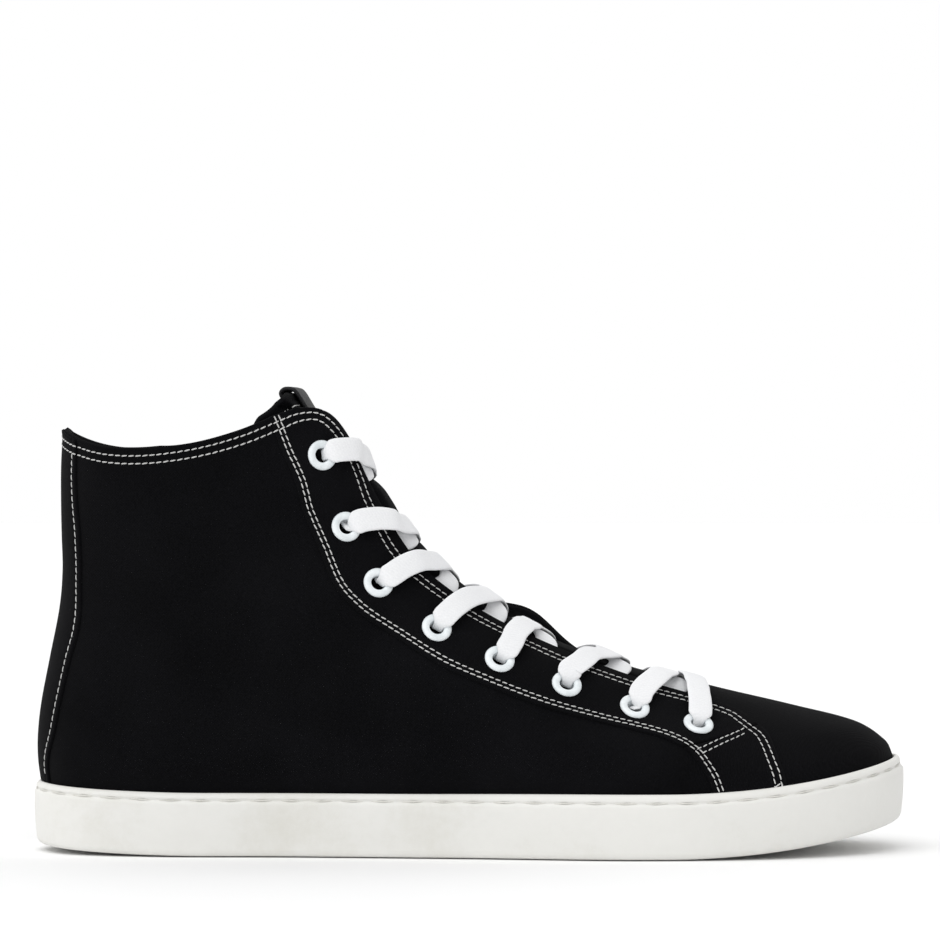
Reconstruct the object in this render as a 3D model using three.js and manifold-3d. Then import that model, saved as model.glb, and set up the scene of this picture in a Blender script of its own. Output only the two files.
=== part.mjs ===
// High top canvas sneaker: hollow upper on a rubber cup sole, laced over a tongue.
// Millimetres. +X points to the toe, +Z up, and the outer (lateral) side faces -Y.
import * as THREE from "three";
import { mergeVertices } from "three/addons/utils/BufferGeometryUtils.js";
import Module from "manifold-3d";

// Driving sizes of the last and the sole
const soleLength = 300;
const upperBallWidth = 98;
const upperHeelWidth = 70;
const collarWidth = 62;
const backHeight = 119.3;
const throatHeight = 138;
const collarDip = 10.3;
const sideWallHeight = 22;
const soleRim = 3;
const toeSpring = 10.5;
const heelSpring = 2.4;
const cupFloor = 10;
const insoleThickness = 4;

// Sizes of the sheets and the hardware
const upperWall = 2;
const overlayThickness = 1;
const tongueThickness = 3;
const tongueSlack = 1.8;
const tongueRecess = 19;
const fit = 0.3;
const overlayGap = 0.4;
const seamGap = 0.5;
const eyeletBore = 5;
const eyeletBarrelWall = 0.45;
const eyeletFlange = 10.1;
const eyeletCrown = 1.1;
const laceWidth = 7.2;
const laceThickness = 1.2;
const laceEndWidth = 4.2;
const loopWidth = 20;
const loopTape = 1.5;
const loopRise = 3.8;

// Mesh fineness
const columns = 36;
const eyeletSides = 8;

const degrees = Math.PI / 180;
const circle = 2 * Math.PI;

// One row for each ring of the upper, from the feather line to above the collar. back and
// front are where the ring starts and ends, as shares of the sole's length. backUp and
// frontUp are its heights over the sole's lip, as shares of the back and throat heights.
// The widths are shares of the half width, every 22.5 degrees of turn from the heel.
const rings = [
  { level: 0.06, back: 0.010, backUp: 0, front: 0.990, frontUp: 0,
    widths: [0.66, 0.92, 0.93, 0.79, 1.01, 0.94, 0.57] },
  { level: 0.12, back: 0.0070, backUp: 0.057, front: 0.980, frontUp: 0.045,
    widths: [0.68, 0.96, 0.97, 0.82, 1.03, 0.95, 0.58] },
  { level: 0.20, back: 0.0067, backUp: 0.126, front: 0.943, frontUp: 0.111,
    widths: [0.68, 0.99, 1.01, 0.84, 1.01, 0.86, 0.53] },
  { level: 0.30, back: 0.0107, backUp: 0.222, front: 0.860, frontUp: 0.186,
    widths: [0.66, 0.98, 1.03, 0.84, 0.91, 0.72, 0.41] },
  { level: 0.40, back: 0.0210, backUp: 0.360, front: 0.763, frontUp: 0.254,
    widths: [0.61, 0.95, 1.02, 0.84, 0.83, 0.66, 0.35] },
  { level: 0.50, back: 0.0315, backUp: 0.499, front: 0.667, frontUp: 0.315,
    widths: [0.56, 0.90, 1.01, 0.85, 0.80, 0.63, 0.35] },
  { level: 0.60, back: 0.0350, backUp: 0.608, front: 0.573, frontUp: 0.395,
    widths: [0.52, 0.86, 0.99, 0.87, 0.80, 0.63, 0.37] },
  { level: 0.70, back: 0.0340, backUp: 0.708, front: 0.500, frontUp: 0.500,
    widths: [0.50, 0.84, 0.99, 0.90, 0.82, 0.65, 0.40] },
  { level: 0.80, back: 0.0333, backUp: 0.801, front: 0.443, frontUp: 0.627,
    widths: [0.47, 0.82, 0.97, 0.94, 0.86, 0.69, 0.43] },
  { level: 0.90, back: 0.0333, backUp: 0.904, front: 0.395, frontUp: 0.783,
    widths: [0.45, 0.80, 0.96, 0.96, 0.90, 0.74, 0.47] },
  { level: 1.00, back: 0.0350, backUp: 1, front: 0.363, frontUp: 1,
    widths: [0.44, 0.79, 0.95, 1.01, 0.95, 0.78, 0.49] },
  { level: 1.12, back: 0.0370, backUp: 1.132, front: 0.333, frontUp: 1.217,
    widths: [0.44, 0.80, 0.97, 1.08, 1.02, 0.82, 0.50] },
];
const featherLevel = rings[0].level;
const widthStep = Math.PI / 8;

// Sideways run of the middle line, as shares of the upper's ball width
const middleLine = [
  { along: 0, side: 0 },
  { along: 0.15, side: 0 },
  { along: 0.40, side: -0.025 },
  { along: 0.55, side: -0.018 },
  { along: 0.70, side: 0.010 },
  { along: 0.85, side: 0.040 },
  { along: 1, side: 0.072 },
];

// Lines on the upper, each from the collar towards the toe: level is the ring and turn the
// angle from the back of the heel. The inner side of the shoe mirrors the outer one.
const throatEdge = [
  { level: 0.995, turn: 130 },
  { level: 0.982, turn: 143.5 },
  { level: 0.955, turn: 152.5 },
  { level: 0.915, turn: 157.6 },
  { level: 0.86, turn: 157 },
  { level: 0.80, turn: 152.8 },
  { level: 0.73, turn: 150.2 },
  { level: 0.66, turn: 151.6 },
  { level: 0.58, turn: 153 },
  { level: 0.50, turn: 151.8 },
  { level: 0.42, turn: 151 },
  { level: 0.35, turn: 151.6 },
  { level: 0.303, turn: 150.3 },
  { level: 0.262, turn: 146.7 },
  { level: 0.234, turn: 144.2 },
];
const rearSeam = [
  { level: 0.994, turn: 117 },
  { level: 0.95, turn: 118.3 },
  { level: 0.90, turn: 120 },
  { level: 0.845, turn: 117.2 },
  { level: 0.76, turn: 113 },
  { level: 0.66, turn: 106.6 },
  { level: 0.60, turn: 104.8 },
  { level: 0.54, turn: 104.8 },
  { level: 0.445, turn: 105.4 },
  { level: 0.39, turn: 108.1 },
  { level: 0.325, turn: 112.6 },
  { level: 0.28, turn: 117.5 },
  { level: 0.235, turn: 123 },
  { level: 0.195, turn: 124.5 },
];
const vampFront = [
  { level: 0.228, turn: 143.8 },
  { level: 0.176, turn: 139.5 },
  { level: 0.12, turn: 137.2 },
  { level: 0.072, turn: 136.6 },
];
const vampRear = [
  { level: 0.189, turn: 124.5 },
  { level: 0.12, turn: 123.8 },
  { level: 0.072, turn: 123.9 },
];
const heelStripEdge = [
  { level: 0.997, turn: 28 },
  { level: 0.84, turn: 27 },
  { level: 0.73, turn: 27 },
  { level: 0.58, turn: 24.5 },
  { level: 0.46, turn: 24 },
  { level: 0.40, turn: 22 },
  { level: 0.32, turn: 20.3 },
  { level: 0.22, turn: 18 },
  { level: 0.12, turn: 14 },
  { level: 0.072, turn: 13 },
];
// Height of the collar round the shoe, from the heel to the throat
const collarLine = [
  { level: 1.010, turn: 0 },
  { level: 1.014, turn: 25 },
  { level: 1.007, turn: 50 },
  { level: 0.999, turn: 70 },
  { level: 0.991, turn: 90 },
  { level: 0.991, turn: 105 },
  { level: 0.994, turn: 118 },
  { level: 0.995, turn: 130 },
  { level: 1, turn: 180 },
];
const tongueEdge = [
  { level: 1.06, turn: 101 },
  { level: 1.00, turn: 103 },
  { level: 0.93, turn: 109 },
  { level: 0.85, turn: 113 },
  { level: 0.70, turn: 115 },
  { level: 0.55, turn: 118 },
  { level: 0.42, turn: 124 },
  { level: 0.34, turn: 132 },
];

// Each eyelet's place, from the collar down, and where the lace from it crosses the throat's
// edge and the ridge and goes under the other edge. The last one carries the straight bar.
const eyelets = [
  { level: 0.930, turn: 134.9, edge: 0.927, ridge: 0.900, under: 0.900 },
  { level: 0.8135, turn: 128.6, edge: 0.816, ridge: 0.800, under: 0.782 },
  { level: 0.686, turn: 121.8, edge: 0.742, ridge: 0.724, under: 0.700 },
  { level: 0.565, turn: 120.2, edge: 0.662, ridge: 0.648, under: 0.615 },
  { level: 0.469, turn: 120.8, edge: 0.580, ridge: 0.577, under: 0.535 },
  { level: 0.387, turn: 124.1, edge: 0.488, ridge: 0.487, under: 0.450 },
  { level: 0.318, turn: 128.0, edge: 0.413, ridge: 0.428, under: 0.395 },
  { level: 0.262, turn: 133.8, edge: 0.386, ridge: 0.403, under: 0.403 },
];
const throatEndRidge = 0.395;
const throatEndEdge = 0.362;
const tongueFootLevel = 0.352;
const tongueTopRidge = 0.985;
const tongueTopSide = 0.996;
const tongueTopCorner = 1;

const clamp = (value, low, high) => Math.min(high, Math.max(low, value));
const mix = (a, b, t) => a + (b - a) * t;
function smooth(value, from, to) {
  const t = clamp((value - from) / (to - from), 0, 1);
  return t * t * (3 - 2 * t);
}

// Smooth curve through values at rising knots
function through(knots, values, at) {
  const last = knots.length - 1;
  let i = 0;
  while (i < last - 1 && at >= knots[i + 1]) i += 1;
  const chord = (k) => (values[k + 1] - values[k]) / (knots[k + 1] - knots[k]);
  const slope = (k) => {
    if (k === 0) return chord(0);
    if (k === last) return chord(last - 1);
    return (values[k + 1] - values[k - 1]) / (knots[k + 1] - knots[k - 1]);
  };
  const span = knots[i + 1] - knots[i];
  const t = (at - knots[i]) / span;
  const rise = t * t * (3 - 2 * t);
  const leave = t * (1 - t) * (1 - t) * span * slope(i);
  const reach = t * t * (t - 1) * span * slope(i + 1);
  return mix(values[i], values[i + 1], rise) + leave + reach;
}

// Height of the sole's underside: flat in the middle, sprung at the toe and the heel
function soleBottom(along) {
  const toe = Math.max(0, (along / soleLength - 0.717) / (1 - 0.717));
  const heel = Math.max(0, (0.207 - along / soleLength) / 0.207);
  return toeSpring * toe * toe + heelSpring * heel * heel;
}
const soleLip = (along) => soleBottom(along) + sideWallHeight;

const ringLevels = rings.map((ring) => ring.level);
const ringSeries = (read) => rings.map(read);
const backSeries = ringSeries((ring) => ring.back);
const backUpSeries = ringSeries((ring) => ring.backUp);
const frontSeries = ringSeries((ring) => ring.front);
const frontUpSeries = ringSeries((ring) => ring.frontUp);
const widthSeries = [0, 1, 2, 3, 4, 5, 6].map((k) => ringSeries((ring) => ring.widths[k]));
const middleKnots = middleLine.map((row) => row.along);
const middleSides = middleLine.map((row) => row.side);

// Half width of a ring at an angle of turn from the heel, 0 at the heel and the ridge
function halfWidth(turn, level) {
  const heelHalf = mix(upperHeelWidth, collarWidth, level) / 2;
  const ballHalf = mix(upperBallWidth, collarWidth, level) / 2;
  const width = (k) => {
    if (k < 0) return -width(-k);
    if (k > 8) return -width(16 - k);
    if (k === 0 || k === 8) return 0;
    return through(ringLevels, widthSeries[k - 1], level) * (k < 4 ? heelHalf : ballHalf);
  };
  const i = Math.min(7, Math.floor(turn / widthStep));
  const t = turn / widthStep - i;
  const slope = (k) => (width(k + 1) - width(k - 1)) / 2;
  const leave = t * (1 - t) * (1 - t) * slope(i);
  const reach = t * t * (t - 1) * slope(i + 1);
  return mix(width(i), width(i + 1), t * t * (3 - 2 * t)) + leave + reach;
}

// The outside of the upper: turn runs round from the heel by the outer side, level up
function form(turn, level) {
  const wrapped = ((turn % circle) + circle) % circle;
  const outer = wrapped <= Math.PI;
  const half = outer ? wrapped : circle - wrapped;
  const plan = Math.max(level, featherLevel);
  const toward = Math.sin(half / 2) ** 2;
  const back = through(ringLevels, backSeries, plan) * soleLength;
  const front = through(ringLevels, frontSeries, plan) * soleLength;
  const along = mix(back, front, toward);
  const backUp = through(ringLevels, backUpSeries, plan) * backHeight;
  const frontUp = through(ringLevels, frontUpSeries, plan) * throatHeight;
  const dip = collarDip * clamp((plan - 0.6) / 0.4, 0, 2) ** 1.5 * Math.sin(Math.PI * toward ** 0.65);
  const sunk = (level - plan) * (sideWallHeight - cupFloor - fit) / featherLevel;
  const middle = through(middleKnots, middleSides, along / soleLength) * upperBallWidth;
  const side = middle + (outer ? -1 : 1) * halfWidth(half, plan);
  const up = soleLip(along) + mix(backUp, frontUp, toward) - dip + sunk;
  return new THREE.Vector3(along - soleLength / 2, side, up);
}

function normalAt(turn, level) {
  const step = 0.004;
  const low = Math.max(0, level - step);
  const acrossStep = form(turn + step, level).sub(form(turn - step, level));
  const upStep = form(turn, level + step).sub(form(turn, low));
  return acrossStep.cross(upStep).normalize();
}
const surface = (turn, level, lift) => form(turn, level).addScaledVector(normalAt(turn, level), lift);

// Plan outline of the sole, moved out from the feather line
function outline(turn, out) {
  const step = 0.01;
  const centre = form(turn, featherLevel);
  const ahead = form(turn + step, featherLevel).sub(form(turn - step, featherLevel));
  const away = new THREE.Vector2(ahead.y, -ahead.x).normalize();
  return new THREE.Vector2(centre.x + away.x * out, centre.y + away.y * out);
}

// Closed bodies from grids of points

function bodyFrom(points, faces) {
  const geometry = new THREE.BufferGeometry();
  const flat = points.flatMap((point) => [point.x, point.y, point.z]);
  geometry.setAttribute("position", new THREE.Float32BufferAttribute(flat, 3));
  geometry.setIndex(faces);
  return geometry;
}

// A band of profile points at every column round the shoe. An open profile runs from its
// lower end to its upper end and gets a cap of rungs across the shoe at each end.
function aroundBody(profileAt, closed) {
  const points = [];
  for (let i = 0; i < columns; i += 1) points.push(...profileAt((i * circle) / columns));
  const count = points.length / columns;
  const faces = [];
  const at = (i, j) => (i % columns) * count + (j % count);
  for (let i = 0; i < columns; i += 1) {
    for (let j = 0; j < (closed ? count : count - 1); j += 1) {
      faces.push(at(i, j), at(i + 1, j), at(i + 1, j + 1));
      faces.push(at(i, j), at(i + 1, j + 1), at(i, j + 1));
    }
  }
  const rung = (k, j, up) => {
    const quad = [at(k, j), at(k + 1, j), at(columns - k - 1, j), at(columns - k, j)];
    const triangles = [[quad[0], quad[1], quad[2]], [quad[0], quad[2], quad[3]]];
    for (const triangle of triangles) {
      if (new Set(triangle).size < 3) continue;
      faces.push(...(up ? triangle : triangle.toReversed()));
    }
  };
  if (!closed) {
    for (let k = 0; k < columns / 2; k += 1) {
      rung(k, 0, false);
      rung(k, count - 1, true);
    }
  }
  return bodyFrom(points, faces);
}

// A sheet of some thickness: point(u, v, top) gives its two faces, u by v cells
function sheetBody(across, along, point, flip) {
  const points = [];
  for (const top of [false, true]) {
    for (let i = 0; i <= across; i += 1) {
      for (let j = 0; j <= along; j += 1) points.push(point(i / across, j / along, top));
    }
  }
  const layer = (across + 1) * (along + 1);
  const at = (i, j, top) => (top ? layer : 0) + i * (along + 1) + j;
  const faces = [];
  const quad = (a, b, c, d) => {
    faces.push(...(flip ? [a, c, b, a, d, c] : [a, b, c, a, c, d]));
  };
  for (let i = 0; i < across; i += 1) {
    for (let j = 0; j < along; j += 1) {
      quad(at(i, j, true), at(i + 1, j, true), at(i + 1, j + 1, true), at(i, j + 1, true));
      quad(at(i, j, false), at(i, j + 1, false), at(i + 1, j + 1, false), at(i + 1, j, false));
    }
    quad(at(i, 0, false), at(i + 1, 0, false), at(i + 1, 0, true), at(i, 0, true));
    quad(at(i, along, true), at(i + 1, along, true), at(i + 1, along, false), at(i, along, false));
  }
  for (let j = 0; j < along; j += 1) {
    quad(at(0, j, false), at(0, j, true), at(0, j + 1, true), at(0, j + 1, false));
    quad(at(across, j, true), at(across, j, false), at(across, j + 1, false), at(across, j + 1, true));
  }
  return bodyFrom(points, faces);
}

// A flat strap swept through stations, each with its middle, its side and its thickness way
function strapBody(stations) {
  const points = [];
  for (const { middle, sideways, outward, width, thickness } of stations) {
    for (const [a, b] of [[-1, -1], [1, -1], [1, 1], [-1, 1]]) {
      const corner = middle.clone().addScaledVector(sideways, (a * width) / 2);
      points.push(corner.addScaledVector(outward, (b * thickness) / 2));
    }
  }
  const faces = [0, 2, 1, 0, 3, 2];
  for (let s = 0; s < stations.length - 1; s += 1) {
    for (let k = 0; k < 4; k += 1) {
      const [a, b] = [s * 4 + k, s * 4 + ((k + 1) % 4)];
      faces.push(a, b, b + 4, a, b + 4, a + 4);
    }
  }
  const end = (stations.length - 1) * 4;
  faces.push(end, end + 1, end + 2, end, end + 2, end + 3);
  return bodyFrom(points, faces);
}

const wasm = await Module();
wasm.setup();

function toSolid(geometry) {
  const bare = geometry.clone();
  bare.deleteAttribute("normal");
  bare.deleteAttribute("uv");
  const merged = mergeVertices(bare, 1e-4);
  const vertProperties = new Float32Array(merged.attributes.position.array);
  const triVerts = new Uint32Array(merged.index.array);
  return new wasm.Manifold(new wasm.Mesh({ numProp: 3, vertProperties, triVerts }));
}

function toGeometry(solid) {
  const mesh = solid.getMesh();
  const geometry = new THREE.BufferGeometry();
  geometry.setAttribute("position", new THREE.BufferAttribute(new Float32Array(mesh.vertProperties), 3));
  geometry.setIndex(new THREE.BufferAttribute(new Uint32Array(mesh.triVerts), 1));
  return geometry;
}

// Lines on the upper

function readLine(rows) {
  const rising = [...rows].sort((a, b) => a.level - b.level);
  const levels = rising.map((row) => row.level);
  const turns = rising.map((row) => row.turn);
  const [low, high] = [levels[0], levels[levels.length - 1]];
  return (level) => through(levels, turns, clamp(level, low, high)) * degrees;
}
const throatTurn = readLine(throatEdge);
const tongueTurn = readLine(tongueEdge);
const collarTurns = collarLine.map((row) => row.turn);
const collarLevels = collarLine.map((row) => row.level);
function toCollar(turn, level) {
  const wrapped = ((turn % circle) + circle) % circle;
  const half = Math.min(wrapped, circle - wrapped) / degrees;
  return level + (through(collarTurns, collarLevels, half) - 1) * smooth(level, 0.75, 1);
}
const heelTurn = readLine(heelStripEdge);

// A line as places at even steps of its length, 0 at its first row and 1 at its last
function paceLine(rows) {
  const lengths = [0];
  for (let k = 1; k < rows.length; k += 1) {
    const here = form(rows[k].turn * degrees, rows[k].level);
    const before = form(rows[k - 1].turn * degrees, rows[k - 1].level);
    lengths.push(lengths[k - 1] + here.distanceTo(before));
  }
  const total = lengths[lengths.length - 1];
  const levels = rows.map((row) => row.level);
  const turns = rows.map((row) => row.turn * degrees);
  return (share) => ({
    level: through(lengths, levels, share * total),
    turn: through(lengths, turns, share * total),
  });
}

// A panel between a rear line and a front line, from their first rows to their last
function panel(rearRows, frontRows, across, along, mirrored) {
  const rear = paceLine(rearRows);
  const front = paceLine(frontRows);
  const point = (u, v, top) => {
    const [a, b] = [rear(v), front(v)];
    const turn = mix(a.turn, b.turn, u);
    const level = mix(a.level, b.level, u);
    const lift = overlayGap + (top ? overlayThickness : 0);
    return surface(mirrored ? circle - turn : turn, level, lift);
  };
  // v runs down the panel, which turns its faces over once more on the outer side
  return sheetBody(across, along, point, !mirrored);
}

// The pieces

// Outer edge of the bottom, the side wall, the stitch groove, the lip and the cup
const cupProfile = [
  { out: soleRim - 3.4, up: 0 },
  { out: soleRim - 1.6, up: 0.5 },
  { out: soleRim - 0.7, up: 2.4 },
  { out: soleRim - 0.1, up: 9 },
  { out: soleRim, up: sideWallHeight - 6 },
  { out: soleRim - 0.25, up: sideWallHeight - 3.6 },
  { out: soleRim - 0.85, up: sideWallHeight - 3 },
  { out: soleRim - 0.3, up: sideWallHeight - 2.4 },
  { out: soleRim - 0.7, up: sideWallHeight - 0.7 },
  { out: soleRim - 1.8, up: sideWallHeight },
  { out: fit, up: sideWallHeight - 0.3 },
  { out: fit, up: cupFloor },
];
const soleBand = (rows) => (turn) => rows.map(({ out, up }) => {
  const place = outline(turn, out);
  return new THREE.Vector3(place.x, place.y, soleBottom(place.x + soleLength / 2) + up);
});
const cupsoleGeometry = aroundBody(soleBand(cupProfile), false);

const insoleEdge = -(upperWall + fit);
const insoleGeometry = aroundBody(soleBand([
  { out: insoleEdge, up: cupFloor + fit },
  { out: insoleEdge, up: cupFloor + fit + insoleThickness - 1 },
  { out: insoleEdge - 1, up: cupFloor + fit + insoleThickness },
]), false);

// The hollow upper, open below and at the collar
const upperLevels = [0, 0.06, 0.09, 0.13, 0.18, 0.24, 0.30, 0.37, 0.44, 0.50, 0.55,
  0.60, 0.65, 0.69, 0.73, 0.77, 0.81, 0.85, 0.89, 0.925, 0.96, 1];
const wholeUpper = aroundBody((turn) => {
  const levels = upperLevels.map((level) => toCollar(turn, level));
  const outside = levels.map((level) => surface(turn, level, 0));
  const inside = levels.map((level) => surface(turn, level, -upperWall)).reverse();
  return [...outside, ...inside];
}, true);

// What is open between the throat's edges, drawn in by some distance from each edge
const throatLevels = [0, 0.06, 0.13, 0.20, 0.27, 0.34, 0.42, 0.50, 0.58, 0.66, 0.74,
  0.80, 0.85, 0.89, 0.92, 0.94, 0.955, 1];
const throatHigh = 1.1;
function throatSpace(drawnIn, below, above) {
  const steps = throatLevels.length - 1;
  const point = (u, v, isTop) => {
    const a = 2 * u - 1;
    const foot = mix(throatEndRidge, throatEndEdge, Math.abs(a));
    const level = foot + (throatHigh - foot) * throatLevels[Math.round(v * steps)];
    const edge = throatTurn(level);
    const reach = form(edge, level).distanceTo(form(edge + degrees, level));
    const half = Math.PI - edge - (drawnIn / reach) * degrees;
    return surface(Math.PI + a * half, level, isTop ? above : -below);
  };
  return toSolid(sheetBody(drawnIn > 0 ? 2 : 4, steps, point, false));
}

// A round plug through the upper and its overlay at an eyelet
function eyeletFrame({ level, turn }, mirrored) {
  const place = mirrored ? circle - turn * degrees : turn * degrees;
  const outward = normalAt(place, level);
  const middle = form(place, level);
  const spin = new THREE.Quaternion().setFromUnitVectors(new THREE.Vector3(0, 1, 0), outward);
  return { middle, spin };
}
const barrelRadius = eyeletBore / 2 + eyeletBarrelWall;
function eyeletHole(eyelet, mirrored) {
  const { middle, spin } = eyeletFrame(eyelet, mirrored);
  const depth = 4 * (upperWall + overlayThickness);
  const plug = new THREE.CylinderGeometry(barrelRadius + fit, barrelRadius + fit, depth, eyeletSides);
  plug.applyQuaternion(spin);
  plug.translate(middle.x, middle.y, middle.z);
  return toSolid(plug);
}
const drill = (solid, mirrored) =>
  eyelets.reduce((left, eyelet) => left.subtract(eyeletHole(eyelet, mirrored)), solid);

const openUpper = toSolid(wholeUpper).subtract(throatSpace(0, 8, 6));
const upperGeometry = toGeometry(drill(drill(openUpper, false), true));

const eyestay = (mirrored) =>
  toGeometry(drill(toSolid(panel(rearSeam, throatEdge, 5, 24, mirrored)), mirrored));
const sidePatch = (mirrored) => panel(vampRear, vampFront, 4, 6, mirrored);

const heelStripGeometry = sheetBody(8, 10, (u, v, top) => {
  const level = mix(0.072, 0.997, v);
  const lift = overlayGap + (top ? overlayThickness : 0);
  const turn = (2 * u - 1) * heelTurn(level);
  return surface(turn, toCollar(turn, level), lift);
}, false);

// The tongue lies under the edges, swells into the throat and leans back at its top
function tonguePoint(across, up, depth) {
  const shoulder = mix(tongueTopRidge, tongueTopSide, smooth(Math.abs(across), 0, 0.6));
  const topLevel = mix(shoulder, tongueTopCorner, smooth(Math.abs(across), 0.62, 1));
  const level = mix(tongueFootLevel, topLevel, up);
  const turn = Math.PI + across * (Math.PI - tongueTurn(level));
  const inside = (Math.PI - throatTurn(level) - Math.abs(turn - Math.PI)) / degrees;
  const swell = smooth(inside, 3, 11) * smooth(level, 0.40, 0.46);
  const under = upperWall + mix(seamGap, tongueSlack, smooth(level, 0.38, 0.45));
  const lift = mix(-under, -0.9, swell);
  const lean = tongueRecess * smooth(level, 0.87, 1) * (1 - across * across) ** 2;
  const place = surface(turn, level, lift - depth);
  place.x -= lean;
  return place;
}
const tongueGeometry = sheetBody(12, 16, (u, v, top) =>
  tonguePoint(2 * u - 1, 1 - (1 - v) ** 1.7, top ? 0 : tongueThickness), false);

// The folded tape over the middle of the tongue's top, from its front leg to its back leg
const loopOff = 1.8 * (fit + loopTape / 2);
function loopPath(share) {
  const reach = tonguePoint(0.1, 1, 0).distanceTo(tonguePoint(-0.1, 1, 0)) / 0.2;
  const across = (share * loopWidth) / 2 / reach;
  const leg = (up, depth) => tonguePoint(across, up, depth);
  const front = leg(1, -loopOff);
  const back = leg(1, tongueThickness + loopOff);
  const rise = leg(1, 0).sub(leg(0.95, 0)).normalize();
  const path = [leg(0.945, -loopOff), leg(0.97, -loopOff), front];
  for (const angle of [45, 90, 135]) {
    const toward = (1 - Math.cos(angle * degrees)) / 2;
    const top = front.clone().lerp(back, toward);
    path.push(top.addScaledVector(rise, loopRise * Math.sin(angle * degrees)));
  }
  path.push(back, leg(0.975, tongueThickness + loopOff), leg(0.96, tongueThickness + loopOff));
  return path;
}
const loopSteps = 8;
const loopGeometry = sheetBody(3, loopSteps, (u, v, top) => {
  const path = loopPath(2 * u - 1);
  const k = Math.round(v * loopSteps);
  const ahead = path[Math.min(loopSteps, k + 1)].clone().sub(path[Math.max(0, k - 1)]).normalize();
  const sideways = loopPath(1)[k].sub(loopPath(-1)[k]).normalize();
  const outward = sideways.cross(ahead).normalize();
  return path[k].clone().addScaledVector(outward, ((top ? 1 : -1) * loopTape) / 2);
}, false);

// Eyelet: a barrel with a rounded flange outside, turned about its own axis
const flangeUnder = overlayGap + overlayThickness + fit;
const flangeTop = flangeUnder + eyeletCrown;
const eyeletProfile = [
  { radius: eyeletBore / 2, height: -upperWall + 0.1 },
  { radius: barrelRadius, height: -upperWall + 0.1 },
  { radius: barrelRadius, height: flangeUnder },
  { radius: eyeletFlange / 2, height: flangeUnder },
  { radius: mix(eyeletBore, eyeletFlange, 0.5) / 2, height: flangeTop },
  { radius: eyeletBore / 2, height: mix(flangeUnder, flangeTop, 0.5) },
];
function eyeletGeometry() {
  const profile = [...eyeletProfile, eyeletProfile[0]];
  const rows = profile.map(({ radius, height }) => new THREE.Vector2(radius, height));
  return new THREE.LatheGeometry(rows, eyeletSides);
}

// Laces: each strap follows places given as turn, level and lift over the upper
function strapPath(places, steps, endWidth) {
  const knots = places.map((place, k) => k);
  const read = (name, at) => through(knots, places.map((place) => place[name]), at);
  const last = knots.length - 1;
  const spot = (share) => {
    const at = share * last;
    return surface(read("turn", at), read("level", at), read("lift", at));
  };
  const stations = [];
  for (let s = 0; s <= steps; s += 1) {
    const share = s / steps;
    const middle = spot(share);
    const ahead = spot(Math.min(1, share + 0.02)).sub(spot(Math.max(0, share - 0.02))).normalize();
    const outward = normalAt(read("turn", share * last), read("level", share * last));
    const sideways = ahead.clone().cross(outward).normalize();
    const squared = sideways.clone().cross(ahead).normalize();
    const width = mix(endWidth, laceWidth, smooth(share, 0, 0.3));
    stations.push({ middle, sideways: sideways.negate(), outward: squared, width, thickness: laceThickness });
  }
  return stations;
}

const halfLace = laceThickness / 2;
const laceOverFlange = flangeTop + fit + halfLace;
const laceOverEdge = overlayGap + overlayThickness + fit + halfLace;
function crossing(k) {
  const start = eyelets[k];
  const edgeLevel = start.edge;
  const parts = [];
  for (const mirrored of [false, true]) {
    const turn = (angle) => (mirrored ? circle - angle : angle);
    const ridgeLift = mirrored ? 1.3 : 2.3;
    const over = strapPath([
      { turn: turn(start.turn * degrees), level: start.level, lift: laceOverFlange },
      { turn: turn(mix(start.turn * degrees, throatTurn(edgeLevel), 0.5)),
        level: mix(start.level, edgeLevel, 0.65), lift: laceOverFlange + 0.9 },
      { turn: turn(throatTurn(edgeLevel)), level: edgeLevel, lift: laceOverEdge + 0.8 },
      { turn: turn(mix(throatTurn(edgeLevel), Math.PI, 0.5)),
        level: mix(edgeLevel, start.ridge, 0.6), lift: mix(laceOverEdge, ridgeLift, 0.6) + 0.4 },
      { turn: Math.PI, level: start.ridge, lift: ridgeLift },
    ], 7, laceEndWidth);
    const farEdge = circle - throatTurn(start.under);
    const under = strapPath([
      { turn: turn(Math.PI - 2 * degrees), level: start.ridge, lift: ridgeLift },
      { turn: turn(mix(Math.PI, farEdge, 0.45)), level: mix(start.ridge, start.under, 0.4),
        lift: mix(ridgeLift, 0, 0.5) },
      { turn: turn(mix(Math.PI, farEdge, 0.85)), level: mix(start.ridge, start.under, 0.85),
        lift: -0.7 },
      { turn: turn(mix(Math.PI, farEdge, 1.3)), level: start.under, lift: -1.6 },
    ], 5, laceWidth);
    parts.push(toSolid(strapBody(over)));
    parts.push(toSolid(strapBody(under)).intersect(throatSpace(seamGap, 8, 6)));
  }
  return toGeometry(parts.reduce((joined, piece) => joined.add(piece)));
}

function laceBar() {
  const end = eyelets[eyelets.length - 1];
  const half = [
    { turn: end.turn * degrees, level: end.level, lift: laceOverFlange },
    { turn: 146 * degrees, level: 0.332, lift: laceOverFlange + 0.7 },
    { turn: 157.5 * degrees, level: 0.374, lift: laceOverEdge + 1.7 },
    { turn: 168 * degrees, level: 0.395, lift: laceOverEdge + 1.5 },
  ];
  const mirror = half.map((place) => ({ ...place, turn: circle - place.turn })).reverse();
  const ridge = { turn: Math.PI, level: end.ridge, lift: laceOverEdge + 1.4 };
  const stations = strapPath([...half, ridge, ...mirror], 14, laceWidth);
  const ends = [[0, 0.5], [1, 0.85], [13, 0.85], [14, 0.5]];
  for (const [index, share] of ends) stations[index].width = laceWidth * share + 1;
  return strapBody(stations);
}

// The assembly

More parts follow.
